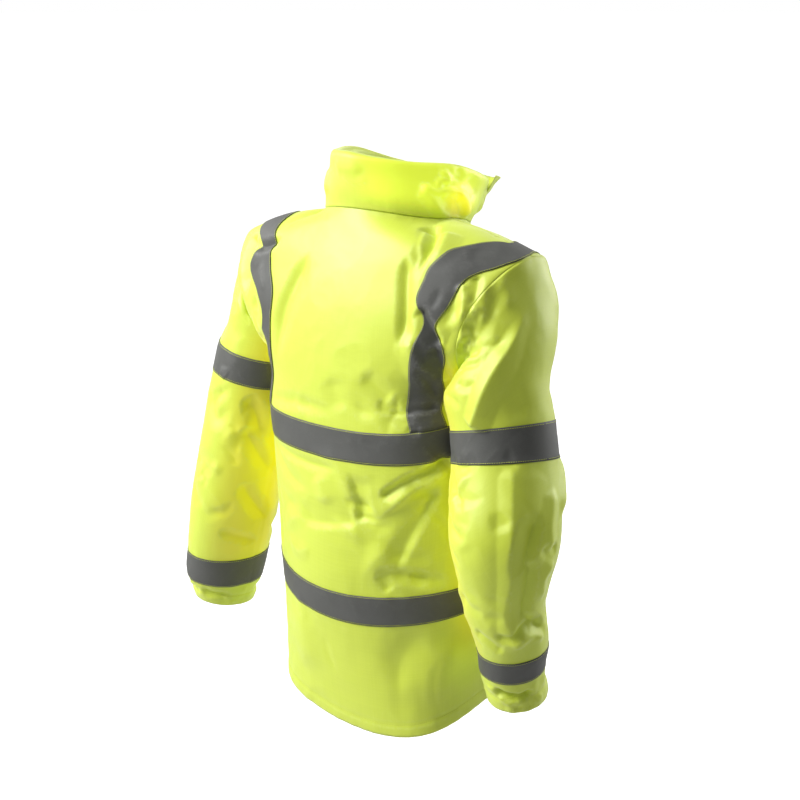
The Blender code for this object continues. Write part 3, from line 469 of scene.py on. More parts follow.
# Lines run in each panel's own places. Depth in mm, + stands out. The two widths in mm are those
# to the right and to the left of the line as it runs, seen from outside. Crisp 1 is a sharp fold
# and 0 a soft one. The last two are the shares of the line over which it fades in and out.
creases = {
    "body": [
        # side, line (share of the half width, section), depth, right, left, crisp, fades
        (1, [(-.48, 11.58), (-.531, 11.24), (-.535, 10.74), (-.543, 10.2)], -8, 5, 15, .95, .08, .35),
        (1, [(-.44, 11.5), (-.48, 11.07), (-.515, 10.74), (-.53, 10.26)], 2.5, 9, 4, .8, .1, .3),
        (1, [(-.59, 11.5), (-.60, 11.0), (-.59, 10.6)], 3, 16, 7, .7, .15, .4),
        (1, [(.18, 10.5), (.295, 9.58), (.355, 9.08), (.39, 8.38), (.41, 7.7)], -6, 20, 13, .2, .25, .40),
        (1, [(-.43, 10.8), (-.48, 10.1), (-.535, 9.3), (-.53, 8.4)], -5.5, 13, 9, .5, .2, .35),
        (1, [(-.84, 10.5), (-.925, 10.05), (-.985, 9.6)], 3.5, 6, 8, .7, .1, .3),
        (1, [(-.88, 10.75), (-.95, 10.45), (-.99, 10.1)], -3.5, 6, 6, .7, .1, .2),
        (1, [(-.617, 9.72), (-.741, 9.29), (-.864, 8.86)], -6, 6, 13, .9, .15, .2),
        (1, [(-.77, 11.38), (-.80, 11.16), (-.84, 10.95)], -1.5, 16, 9, .8, .2, .4),
        (1, [(-.63, 8.3), (-.68, 7.7), (-.64, 7.1)], -2.5, 7, 9, .8, .2, .3),
        (1, [(-.60, 8.9), (-.66, 8.4), (-.72, 8.1)], 2.2, 7, 7, .9, .2, .3),
        (1, [(-.80, 8.9), (-.84, 8.4), (-.88, 7.9)], -5, 7, 10, .8, .2, .3),
        (1, [(-.53, 9.0), (-.60, 8.5), (-.64, 7.9), (-.60, 7.3)], 4, 16, 14, .5, .2, .4),
        (1, [(-.27, 6.78), (-.40, 6.66), (-.54, 6.74), (-.66, 6.80)], -3, 7, 3.5, .95, .25, .12),
        (1, [(-.30, 6.95), (-.38, 6.92), (-.44, 6.98)], -2.5, 5, 7, .8, .2, .25),
        (1, [(-.36, 6.72), (-.42, 6.45), (-.50, 6.30)], -3, 9, 9, .6, .2, .3),
        (1, [(-.45, 6.25), (-.47, 6.12), (-.52, 6.05)], -2.5, 7, 6, .7, .2, .2),
        (1, [(-.25, 7.9), (-.33, 7.35), (-.38, 7.0)], -3, 15, 12, .4, .3, .2),
        (1, [(.505, 6.28), (.145, 6.55), (-.1, 6.5)], -2.5, 10, 9, .7, .2, .4),
        (1, [(-.05, 7.6), (-.08, 7.0), (-.10, 6.55)], -2, 18, 22, .2, .3, .3),
        (1, [(-.70, 5.0), (-.54, 4.86), (-.42, 4.72), (-.30, 4.50)], -7, 10, 7, .75, .1, .12),
        (1, [(-.69, 4.84), (-.52, 4.64), (-.40, 4.44), (-.27, 4.15)], 4.5, 7, 34, .6, .1, .4),
        (1, [(-.60, 4.6), (-.45, 4.15), (-.33, 3.7), (-.20, 3.2)], 4, 42, 15, .5, .2, .3),
        (1, [(-.62, 4.66), (-.52, 4.2), (-.44, 3.8), (-.39, 3.4)], -6.5, 9, 24, .5, .15, .25),
        (1, [(-.13, 4.86), (-.16, 4.6), (-.185, 4.35), (-.195, 4.1)], -4.5, 26, 5, .9, .35, .12),
        (1, [(.05, 4.75), (.02, 4.5), (.0, 4.25)], 2.5, 20, 14, .4, .3, .3),
        (1, [(.22, 4.05), (.12, 3.98), (0, 4.02), (-.19, 4.13)], -3.2, 26, 7, .8, .3, .12),
        (1, [(.45, 4.97), (.36, 4.70), (.24, 4.50), (.10, 4.42)], -2.5, 14, 8, .7, .2, .3),
        (1, [(-.45, 3.32), (-.55, 3.22), (-.68, 3.16)], -3, 9, 9, .7, .2, .3),
        (1, [(-.30, 3.36), (-.33, 3.2), (-.36, 3.08)], -3, 12, 6, .7, .2, .2),
        (1, [(.45, 4.97), (.30, 4.88), (.10, 4.84), (-.1, 4.86)], -2.5, 7, 7, .6, .2, .3),
        (1, [(-.10, 4.42), (-.2, 4.36), (-.28, 4.30)], -3, 8, 7, .6, .3, .3),
        (1, [(-.28, 3.40), (-.42, 3.34), (-.60, 3.24)], -4, 8, 12, .6, .25, .25),
        (1, [(.55, 3.9), (.48, 3.5), (.50, 3.1)], -3, 18, 20, .2, .3, .3),
        (1, [(-.55, 1.9), (-.40, 1.4), (-.33, .7)], -4, 26, 26, .2, .3, .4),
        (1, [(-.75, 1.6), (-.62, .9), (-.60, .2)], 4, 22, 24, .3, .3, .4),
        (1, [(.30, 1.9), (.22, 1.2), (.24, .5)], 3, 30, 34, .1, .3, .4),
        (1, [(.72, 1.8), (.66, 1.0), (.70, .3)], -3, 24, 20, .2, .3, .4),
        (1, [(.78, 11.1), (.84, 10.6), (.88, 10.0), (.90, 9.4)], -10, 13, 12, .7, .15, .3),
        (1, [(.80, 10.80), (.68, 10.64), (.56, 10.62), (.42, 10.78)], -5.5, 8, 8, .9, .25, .25),
        (1, [(.86, 10.4), (.78, 10.5), (.70, 10.62)], -3, 6, 9, .8, .2, .3),
        (1, [(.66, 10.75), (.72, 10.4), (.76, 9.9)], 4, 14, 16, .4, .3, .4),
        (1, [(.62, 8.6), (.70, 8.0), (.78, 7.4)], -4, 18, 15, .4, .3, .3),
        # fronts
        (-1, [(.30, 5.0), (.52, 4.62), (.78, 4.2)], 6, 26, 22, .4, .25, .2),
        (-1, [(.24, 4.6), (.50, 4.1), (.72, 3.7)], -6, 18, 14, .6, .25, .3),
        (-1, [(.40, 3.9), (.55, 3.5), (.62, 3.1)], -4, 18, 16, .4, .25, .3),
        (-1, [(-.35, 4.8), (-.58, 4.4), (-.78, 4.0)], 6, 22, 24, .4, .25, .2),
        (-1, [(-.28, 4.4), (-.50, 4.0), (-.66, 3.4)], -6, 14, 18, .6, .25, .3),
        (-1, [(.70, 10.5), (.78, 9.6), (.86, 8.5)], -9, 14, 16, .6, .2, .3),
        (-1, [(.58, 10.2), (.66, 9.3), (.74, 8.4), (.76, 7.6)], 5, 20, 18, .4, .3, .4),
        (-1, [(-.70, 10.4), (-.80, 9.5), (-.86, 8.6)], -9, 16, 14, .6, .2, .3),
        (-1, [(-.56, 9.9), (-.62, 9.1), (-.70, 8.2)], 5, 18, 20, .4, .3, .4),
        (-1, [(.34, 10.6), (.42, 9.6), (.44, 8.6), (.40, 7.6)], -5, 20, 22, .2, .3, .4),
        (-1, [(-.36, 10.4), (-.44, 9.4), (-.46, 8.4), (-.40, 7.3)], -5, 22, 20, .2, .3, .4),
        (-1, [(.80, 7.4), (.60, 7.0), (.44, 6.7)], -4, 12, 14, .6, .2, .4),
        (-1, [(-.80, 7.5), (-.64, 7.1), (-.50, 6.6)], -4, 14, 12, .6, .2, .4),
        (-1, [(.5, 1.9), (.44, 1.1), (.48, .3)], -4, 24, 26, .2, .3, .4),
        (-1, [(-.5, 1.9), (-.42, 1.0), (-.46, .3)], -4, 26, 24, .2, .3, .4),
        (-1, [(.82, 4.9), (.74, 4.5), (.70, 3.8)], -4, 13, 15, .6, .2, .3),
        (-1, [(-.85, 4.8), (-.76, 4.4), (-.74, 3.7)], -4, 15, 13, .6, .2, .3),
    ],
    "sleeve_right": [
        # line (degrees, level), depth, right, left, crisp, fades
        ([(16, 1.48), (31, 1.86), (47, 2.37), (59, 2.95), (75, 3.63), (84, 3.97)], 8, 16, 11, 1, .5, .05),
        ([(24, 3.9), (34, 3.2), (42, 2.9)], -2.5, 14, 14, .4, .3, .4),
        ([(110, .45), (95, .75), (84, 1.1), (74, 1.35)], -2.5, 6, 5, .9, .2, .3),
        ([(108, .95), (92, 1.45), (82, 1.75), (70, 1.85)], -2.8, 7, 5, .9, .2, .3),
        ([(100, 1.2), (90, 1.0), (80, 1.22)], 2.2, 5, 6, .9, .2, .3),
        ([(104, 2.1), (91, 2.08), (76, 2.2), (66, 2.15)], -2.2, 6, 5, .9, .2, .3),
        ([(98, 2.55), (84, 2.83), (70, 2.77)], -2.4, 7, 6, .8, .2, .3),
        ([(118, 2.9), (104, 3.1), (90, 3.4)], -2.5, 7, 8, .7, .2, .3),
        ([(87, 1.56), (60, 1.90), (41, 2.03)], -1.6, 6, 5, .9, .2, .3),
        ([(88, .08), (80, .5), (84, 1.0)], -3.5, 6, 7, .8, .05, .4),
        ([(72, .08), (62, .6), (74, 1.1)], 2.8, 6, 6, .7, .05, .4),
        ([(100, .08), (92, .3), (90, .7)], 2.8, 5, 6, .8, .05, .4),
        ([(54, .15), (50, .6), (58, 1.2)], -1.8, 9, 8, .5, .15, .4),
        ([(40, .1), (36, .7), (40, 1.4)], 1.6, 10, 12, .4, .15, .4),
        ([(43, 4.95), (43, 5.4), (43, 5.9), (42, 6.5), (44, 7.1), (50, 7.8)], 4.2, 34, 12, 1, .08, .1),
        ([(140, 5.2), (140, 5.9), (136, 6.6), (134, 7.2)], -5, 42, 42, .1, .3, .3),
        ([(135, 5.22), (110, 5.36), (87, 5.42), (66, 5.36)], -2.2, 9, 9, .8, .15, .4),
        ([(126, 5.66), (104, 5.84), (84, 5.88)], -2.6, 7, 10, .9, .15, .4),
        ([(132, 5.05), (118, 5.18), (104, 5.42), (92, 5.60)], -3.2, 6, 8, .9, .15, .3),
        ([(120, 5.5), (108, 5.38), (96, 5.18), (84, 5.12)], 2.6, 7, 7, .8, .15, .3),
        ([(130, 6.02), (112, 6.2), (96, 6.24)], -2.4, 7, 9, .9, .2, .4),
        ([(126, 4.92), (106, 5.05), (84, 4.96)], -2.6, 8, 7, .9, .2, .4),
        ([(118, 6.7), (96, 6.86), (76, 6.84)], -1.8, 8, 9, .8, .2, .3),
        ([(14, 5.55), (25, 6.12), (20, 6.27), (20.5, 6.56), (23.5, 6.85), (18, 7.0), (-15, 7.4)],
         -8, 8, 18, .95, .12, .1),
        ([(-8, 5.3), (0, 5.75), (-8, 6.2)], 3.5, 13, 12, .7, .2, .3),
        ([(-14, 6.2), (2, 6.45), (-6, 6.8)], 3.5, 11, 12, .8, .2, .3),
        ([(8, 5.95), (-2, 6.05), (-16, 5.98)], -3, 8, 8, .8, .2, .2),
        ([(70, 7.3), (47, 7.32), (28, 7.16), (4, 7.16)], -4, 5, 8, .9, .15, .2),
        ([(48, 7.62), (30, 7.42), (10, 7.44), (-10, 7.62)], 3, 7, 7, .9, .15, .2),
        ([(104, 7.3), (84, 7.45), (62, 7.72)], -2.5, 7, 7, .8, .15, .2),
        ([(90, 9.30), (66, 9.44), (42, 9.50), (14, 9.42)], -7, 6, 5, .95, .12, .15),
        ([(84, 9.5), (62, 9.66), (36, 9.62)], 2.5, 5, 5, .8, .2, .2),
        ([(60, 9.3), (52, 9.6), (46, 9.95)], -1.5, 6, 7, .7, .2, .1),
        ([(20, 9.3), (26, 9.6), (28, 9.95)], -1.5, 6, 7, .7, .2, .1),
        # hidden side
        ([(235, 5.2), (262, 5.42), (300, 5.8)], -6, 14, 14, .6, .2, .3),
        ([(230, 5.9), (262, 6.0), (296, 5.6)], -6, 12, 14, .6, .2, .3),
        ([(300, 5.0), (320, 5.25), (338, 5.7)], 5, 14, 14, .6, .2, .3),
        ([(240, 6.5), (262, 6.7), (290, 6.5)], -4, 10, 12, .5, .2, .3),
        ([(205, .6), (228, 1.4), (262, 2.2), (290, 2.8)], -7, 16, 18, .5, .2, .3),
        ([(238, .5), (262, 1.2), (300, 1.7)], -6, 14, 16, .5, .2, .4),
        ([(185, 5.4), (205, 5.6), (225, 5.5)], -5, 12, 12, .6, .2, .3),
        ([(180, 6.3), (205, 6.4), (226, 6.2)], -4, 10, 12, .6, .2, .3),
        ([(250, 7.2), (280, 7.3), (310, 7.1)], -4, 9, 9, .6, .2, .3),
        ([(200, 9.4), (240, 9.5), (290, 9.4)], -4, 7, 8, .7, .2, .3),
    ],
    "sleeve_left": [
        ([(119, 5.19), (140, 5.3), (158, 5.66)], -7, 14, 13, .6, .2, .3),
        ([(128, 5.5), (157, 5.81), (176, 6.02)], -6, 12, 13, .6, .2, .3),
        ([(140, 6.25), (161, 6.6), (186, 6.96)], -6, 12, 13, .5, .2, .3),
        ([(119, 7.19), (146, 7.35), (176, 7.54)], -4, 9, 9, .5, .2, .3),
        ([(90, .4), (112, 1.0), (140, 1.6)], -6, 14, 13, .5, .2, .4),
        ([(70, .3), (84, .9), (98, 1.7)], -5, 13, 13, .4, .2, .4),
        ([(128, 2.0), (150, 2.4), (170, 2.9)], -4, 12, 12, .5, .2, .3),
        ([(60, 5.2), (88, 5.5), (110, 5.3)], -3, 16, 14, .4, .3, .3),
        ([(48, 6.3), (74, 6.1), (100, 6.3)], -3, 16, 14, .4, .3, .3),
        ([(30, 2.2), (42, 3.2), (50, 4.2)], -3, 20, 18, .2, .3, .4),
        ([(96, 9.3), (120, 9.45), (150, 9.4)], -4, 7, 8, .8, .2, .3),
        ([(40, 9.4), (70, 9.5), (96, 9.35)], -3, 7, 8, .7, .2, .3),
        ([(235, 5.3), (262, 5.5), (300, 5.9)], -6, 14, 14, .6, .2, .3),
        ([(228, 6.0), (258, 6.2), (292, 5.8)], -6, 12, 14, .6, .2, .3),
        ([(300, 5.0), (324, 5.3), (345, 5.1)], 5, 14, 14, .5, .2, .3),
        ([(205, .6), (228, 1.4), (262, 2.2), (290, 2.8)], -7, 18, 16, .5, .2, .3),
        ([(238, .5), (262, 1.2), (300, 1.7)], -6, 16, 14, .5, .2, .4),
        ([(200, 7.2), (232, 7.4), (262, 7.2)], -4, 10, 10, .6, .2, .3),
        ([(190, 9.4), (240, 9.5), (290, 9.4)], -4, 7, 8, .7, .2, .3),
    ],
    "collar": [
        ([(-78, 2.92), (-84, 2.25), (-79, 2.1), (-77, 1.75), (-76, 1.45)], -4.5, 4, 5, .95, .15, .15),
        ([(-64, 1.75), (-76, 1.40), (-86, 1.50), (-96, 1.38)], -4.5, 5, 4, .95, .15, .2),
        ([(-90, 1.45), (-98, 1.2), (-108, .55), (-118, .35)], -6, 8, 9, .6, .2, .3),
        ([(-64, 1.6), (-72, .95), (-80, .35), (-90, .05)], -3.5, 9, 9, .7, .15, .15),
        ([(-88, 3.5), (-92, 2.75), (-88, 2.2)], 2.2, 5, 6, .9, .2, .3),
        ([(-98, 3.0), (-106, 2.1), (-118, 1.4)], 3, 14, 12, .4, .3, .3),
        ([(60, 2.2), (50, 1.4), (30, .7)], -3, 12, 14, .3, .3, .3),
        ([(84, 2.8), (88, 1.6), (84, .6)], -5, 13, 12, .5, .2, .3),
        ([(110, 2.6), (118, 1.6), (128, .7)], -5, 12, 14, .5, .2, .3),
        ([(-138, 2.6), (-142, 1.6), (-138, .7)], -4, 12, 12, .5, .2, .3),
        ([(-20, 2.4), (0, 2.2), (22, 2.4)], -2, 10, 10, .3, .3, .3),
        ([(-120, 7.4), (-100, 7.9), (-80, 7.5)], -3, 12, 10, .5, .3, .3),
        ([(40, 7.2), (70, 7.8), (96, 7.2)], -4, 12, 10, .5, .3, .3),
        ([(-30, 7.4), (-8, 7.9), (16, 7.3)], -3, 12, 10, .5, .3, .3),
    ],
}


creaseShape = {
    "gain": 1.5,
    "reach": 1.7,                 # a crisp fold's foot, in widths from its edge
    "flank": 1.12,                # 1 is a straight flank, more is a hollow one
    "endWidth": 0.45,             # share of the width left where a fold fades out
    "search": 2.2,                # points further off than this many widths are passed over
}


# height of one crease over the points of a grid
def creaseHeight(points, normals, line, depth, right, left, crisp, fadeIn, fadeOut):
    reach = creaseShape["search"] * max(right, left) / 1000
    near = np.all((points > line.min(axis=0) - reach) & (points < line.max(axis=0) + reach), axis=-1)
    height = np.zeros(len(points))
    if not near.any():
        return height
    p = points[near][:, None]
    start, step = line[:-1], np.diff(line, axis=0)
    length = np.linalg.norm(step, axis=1)
    t = np.clip(np.sum((p - start) * step, axis=-1) / length**2, 0, 1)
    gap = p - (start + step * t[..., None])
    distance = np.linalg.norm(gap, axis=-1)
    best = distance.argmin(axis=1)
    pick = np.arange(len(best))
    along = (lengthsAlong(line)[best] + t[pick, best] * length[best]) / length.sum()
    hand = np.sum(gap[pick, best] * np.cross(normals[near], step[best]), axis=-1)
    fade = smooth(0, fadeIn, along) * smooth(1, 1 - fadeOut, along)
    least = creaseShape["endWidth"]
    width = np.where(hand > 0, right, left) / 1000 * (least + (1 - least) * fade)
    x = distance[pick, best] / width
    folded = np.clip(1 - x / creaseShape["reach"], 0, 1)**creaseShape["flank"]
    height[near] = (np.exp(-x**2) * (1 - crisp) + folded * crisp) * fade * depth / 1000
    return height * creaseShape["gain"]


strewnShape = {
    "bend": 0.25,
    "width": (7, 13),             # mm on one side, and the other side's share of it
    "uneven": (0.7, 1.4),
    "crisp": (0.4, 0.9),
    "fades": (0.3, 0.4),
    # metres in one unit of a body line's places (shares, sections) and a sleeve line's (degrees, levels)
    "body": (0.28, 0.075),
    "sleeve": (0.0014, 0.07),
}


# short creases strewn over part of a panel
def strewn(metres, count, seed, centre, spread, turn, loose, lengths, depths):
    draw = np.random.default_rng(seed)
    rows = []
    for _ in range(count):
        middle = np.array(centre) + draw.uniform(-1, 1, 2) * spread
        angle = radians(turn + draw.normal() * loose)
        half = draw.uniform(*lengths) / 2
        step = np.array([cos(angle), sin(angle)]) * half / metres
        bend = np.array([-sin(angle), cos(angle)]) * half * draw.normal() * strewnShape["bend"] / metres
        line = [tuple(middle - step), tuple(middle + bend), tuple(middle + step)]
        depth = draw.uniform(*depths) * draw.choice([-1, -1, 1])
        width = draw.uniform(*strewnShape["width"])
        other = width * draw.uniform(*strewnShape["uneven"])
        rows.append((line, depth, width, other, draw.uniform(*strewnShape["crisp"]), *strewnShape["fades"]))
    return rows


# count, seed, centre, spread, turn, looseness of the turn, lengths in metres, depths in mm
strewnOver = {
    "back": [
        (16, 3, (-0.1, 4.2), (0.75, 0.7), 25, 30, (0.04, 0.10), (0.8, 2.0)),
        (10, 4, (-0.3, 6.6), (0.55, 0.5), 60, 35, (0.03, 0.07), (0.8, 1.8)),
        (8, 5, (-0.8, 9.0), (0.16, 1.6), 100, 25, (0.03, 0.07), (0.8, 2.0)),
        (8, 6, (0.75, 8.8), (0.2, 1.6), 75, 25, (0.03, 0.07), (0.8, 2.0)),
        (8, 7, (0.0, 1.2), (0.9, 1.0), 90, 25, (0.05, 0.12), (0.6, 1.4)),
    ],
    "front": [
        (26, 8, (0.0, 4.2), (0.95, 0.8), 10, 35, (0.04, 0.11), (0.8, 2.2)),
        (22, 9, (0.0, 8.4), (0.95, 2.2), 75, 35, (0.04, 0.11), (0.8, 2.0)),
        (12, 10, (0.0, 1.4), (0.95, 1.0), 90, 25, (0.05, 0.12), (0.6, 1.4)),
    ],
    "sleeve_right": [
        (26, 11, (120, 5.7), (90, 1.0), -20, 32, (0.03, 0.07), (0.5, 1.5)),
        (18, 12, (100, 1.6), (70, 1.2), 115, 30, (0.03, 0.07), (0.4, 1.0)),
        (18, 13, (280, 4.6), (70, 3.6), 20, 40, (0.03, 0.08), (0.8, 2.2)),
        (16, 14, (60, 7.1), (120, 0.5), 10, 30, (0.02, 0.05), (0.5, 1.3)),
        (16, 15, (180, 9.5), (180, 0.4), 60, 40, (0.015, 0.04), (0.8, 1.8)),
    ],
    "sleeve_left": [
        (24, 16, (150, 5.7), (90, 1.0), 175, 28, (0.03, 0.08), (0.8, 2.2)),
        (18, 17, (110, 1.4), (70, 1.1), 65, 30, (0.03, 0.07), (0.8, 2.0)),
        (18, 18, (280, 4.6), (70, 3.6), 160, 40, (0.03, 0.08), (0.8, 2.2)),
        (16, 19, (180, 9.5), (180, 0.4), 60, 40, (0.015, 0.04), (0.8, 1.8)),
    ],
}
smallCreases = {}
for key, areas in strewnOver.items():
    metres = np.array(strewnShape["sleeve" if key.startswith("sleeve") else "body"])
    smallCreases[key] = [crease for area in areas for crease in strewn(metres, *area)]


def bodyLine(side, places):
    u, v = curveThrough(places).T
    return bodyPoint(u, v, side)


def panelLine(panel, places):
    u, v = curveThrough(places).T
    grid, columns = panel["grid"], panel["columns"]
    if panel.get("closed"):
        number = ((u - columns[0]) / (columns[1] - columns[0])) % len(columns)
        return sampled(ringed(grid, True), number, numberOf(v, panel["rows"]))
    return sampled(grid, numberOf(u, columns), numberOf(v, panel["rows"]))


def creased(panel, lines):
    grid = panel["grid"]
    normals = gridNormals(grid, panel.get("closed", False))
    points, flat = grid.reshape(-1, 3), normals.reshape(-1, 3)
    height = np.zeros(len(points))
    for line, *shape in lines:
        height += creaseHeight(points, flat, line, *shape)
    panel["normals"] = normals
    panel["height"] = height.reshape(grid.shape[:2])


loose = {
    "sway": 0.0022,               # slow unevenness of the whole cloth
    "swaySize": 0.17,
    "crumple": 0.0018,            # small flat facets with sharp edges between them
    # size, middle of the noise, share and seed of the wide facets and the fine ones
    "facets": [(0.055, 0.32, 1.0, 7), (0.055 / 2.3, 0.3, 0.4, 19)],
    "areaSize": 0.21,             # of the areas that are more or less crumpled
    "areaRamp": (-0.15, 0.35),    # noise at which the crumpling sets in and is full
    "leastCrumpled": 0.35,
    "amount": {"body": 1.0, "sleeve": 1.15, "collar": 0.7},
    "seamDepth": 0.0004,          # how far the cloth is drawn in at a seam
    "seamWidth": 0.0035,
    "seamPull": 0.018,            # cloth beside a seam follows it over this width
    "pitBlend": (0.4, -0.2),      # sections above and below the armpit where the side seam begins
    "armholeFull": 0.0048,        # the cloth stands out over an armhole by this
    "armholeRamps": ((0, 25), (150, 105)),
    "calm": (0.026, 0.055),       # the fronts are flat under the storm flap, out to here
    "hemWide": 0.022,
    "hemGroove": (0.0007, 0.0025),
    "hemFull": 0.0008,
    "tapeRamp": (-0.004, 0.004),  # the tape's puckers set in over this, across its edge
    "shoulderRamp": 0.02,
    # short waves beside a seam, a turned-up edge and a tape: height, length, depth, reach
    "puckers": {
        "seam": (0.0005, 0.013, 0.03, 0.014),
        "hem": (0.0009, 0.016, 0.05, 0.03),
        "tape": (0.0010, 0.017, 0.04, 0.012),
    },
    "thickness": 0.0014,
}


# distance from one end of every row of a grid
def reachAlong(grid, axis, fromEnd=False):
    steps = np.linalg.norm(np.diff(grid, axis=axis), axis=-1)
    start = np.zeros_like(np.take(steps, [0], axis=axis))
    reach = np.concatenate([start, np.cumsum(steps, axis=axis)], axis=axis)
    return np.take(reach, [-1], axis=axis) - reach if fromEnd else reach


# waves that run away from an edge and die out
def puckers(kind, along, seed, across, distance):
    height, length, depth, reach = loose["puckers"][kind]
    place = np.stack([along / length, np.full_like(along, seed), across / depth], -1)
    return noiseAt(place) * height * np.exp(-distance / reach)


# drawn in at the seam, with puckers running away from it
def seamHeight(distance, along, seed):
    dip = -loose["seamDepth"] * np.exp(-(distance / loose["seamWidth"])**2)
    return dip + puckers("seam", along, seed, distance, distance)


def loosened(panel, seed, part):
    grid = panel["grid"]
    sway = noiseOver(grid, loose["swaySize"], seed) * loose["sway"]
    facets = sum((middle - np.abs(noiseOver(grid, size, seed + other))) * share
                 for size, middle, share, other in loose["facets"])
    least = loose["leastCrumpled"]
    areas = least + (1 - least) * smooth(*loose["areaRamp"], noiseOver(grid, loose["areaSize"], seed + 31))
    panel["height"] = panel["height"] + (sway + facets * loose["crumple"] * areas) * loose["amount"][part]


def sideSeams(panel, seed):
    grid = panel["grid"]
    along = reachAlong(grid, 1)
    return sum(seamHeight(reachAlong(grid, 0, end), along, seed + end) for end in (False, True))


def endSeam(panel, fromEnd, seed):
    grid = panel["grid"]
    return seamHeight(reachAlong(grid, 1, fromEnd), reachAlong(grid, 0), seed)


# the turned-up edge: a groove along its stitching, and a slightly fuller edge below it
def turnUp(panel, fromEnd, seed):
    wide = loose["hemWide"]
    depth, width = loose["hemGroove"]
    distance = reachAlong(panel["grid"], 1, fromEnd)
    groove = -depth * np.exp(-((distance - wide) / width)**2)
    fuller = loose["hemFull"] * smooth(wide, wide * 0.7, distance)
    return groove + fuller + puckers("hem", reachAlong(panel["grid"], 0), seed, distance, distance)


# puckers beside the edges of a tape, none under it
def tapeEdges(panel, low, high, seed):
    reach = reachAlong(panel["grid"], 1)
    rows = np.arange(len(panel["rows"]))
    foot, top = (np.interp(numberOf(v, panel["rows"]), rows, reach.mean(axis=0)) for v in (low, high))
    outside = np.maximum(foot - reach, reach - top)
    waves = puckers("tape", reachAlong(panel["grid"], 0), seed, reach, np.abs(outside))
    return waves * smooth(*loose["tapeRamp"], outside)


def settle(panel):
    panel["final"] = panel["grid"] + panel["normals"] * panel["height"][..., None]


# moves a panel's edge onto the seam, and the cloth beside it less and less
def sewTo(panel, edge, seam, axis, fromEnd=False):
    distance = reachAlong(panel["grid"], axis, fromEnd)
    share = np.exp(-(distance / loose["seamPull"])**2)[..., None]
    panel["final"] = panel["final"] + np.expand_dims(seam - edge, axis) * share


bodyLines = [(bodyLine(side, line), *shape) for side, line, *shape in creases["body"]]
bodyLines += [(bodyLine(1, line), *shape) for line, *shape in smallCreases["back"]]
bodyLines += [(bodyLine(-1, line), *shape) for line, *shape in smallCreases["front"]]

# sections or levels of the tapes' lower and upper edges
bodyBands = {"lower": (2, 3), "chest": (5, 6)}
sleeveBands = {"upper": (4, 5), "lower": (8, 9)}

panels = {"back": bodyPanel(1), "frontLeft": bodyPanel(-1, 1), "frontRight": bodyPanel(-1, -1)}
for seed, (key, panel) in enumerate(panels.items()):
    grid = panel["grid"]
    creased(panel, bodyLines)
    loosened(panel, 3.0, "body")
    for low, high in bodyBands.values():
        panel["height"] += tapeEdges(panel, low, high, low)
    if key == "back":
        panel["height"] += sideSeams(panel, seed)
    else:
        inner = 0 if key == "frontLeft" else -1
        panel["height"] *= smooth(*loose["calm"], np.abs(grid[..., 0] - grid[inner, :, 0]))
        panel["height"] += seamHeight(reachAlong(grid, 0, inner == 0), reachAlong(grid, 1), seed)
    panel["height"] += endSeam(panel, True, seed + 5) + turnUp(panel, False, 2.0)
    settle(panel)
print("body panels:", [p["grid"].shape[:2] for p in panels.values()])


# edge of the back or a front as points of the given rows, or of the given shares along its top
def sideEdge(key, column, levels=None):
    line = panels[key]["final"][column]
    if levels is None:
        return line
    return alongLine(numberOf(levels, panels[key]["rows"]), np.arange(len(line)), line)


def topEdge(key, shares):
    line = panels[key]["final"][:, -1]
    return alongLine(numberOf(shares, panels[key]["columns"]), np.arange(len(line)), line)


# 0 at the neck, 1 along the shoulder seam
def shoulderOf(shares):
    return smooth(body["neckShare"] - loose["shoulderRamp"], body["neckShare"], np.abs(shares))


# the fronts are sewn to the back at the sides and the shoulders
def sewBody():
    back = panels["back"]
    above, below = loose["pitBlend"]
    for key, backColumn, frontColumn in (("frontLeft", 0, -1), ("frontRight", -1, 0)):
        front = panels[key]
        sewn = smooth(pitRow + above, pitRow + below, front["rows"])[:, None]
        behind, before = sideEdge(key, frontColumn), sideEdge("back", backColumn)
        seam = (behind + before) / 2
        sewTo(front, behind, behind + (seam - behind) * sewn, 0, frontColumn < 0)
        sewTo(back, before, before + (seam - before) * sewn, 0, backColumn < 0)
        shares = front["columns"]
        before = topEdge(key, shares)
        seam = (before + topEdge("back", shares)) / 2
        sewTo(front, before, before + (seam - before) * shoulderOf(shares)[:, None], 1, True)
        shares = back["columns"]
        inHalf = shares * (1 if key == "frontLeft" else -1) > 0
        behind = topEdge("back", shares)
        moved = (topEdge(key, shares) - behind) * (shoulderOf(shares) * inHalf)[:, None]
        sewTo(back, behind, behind + moved, 1, True)


sewBody()

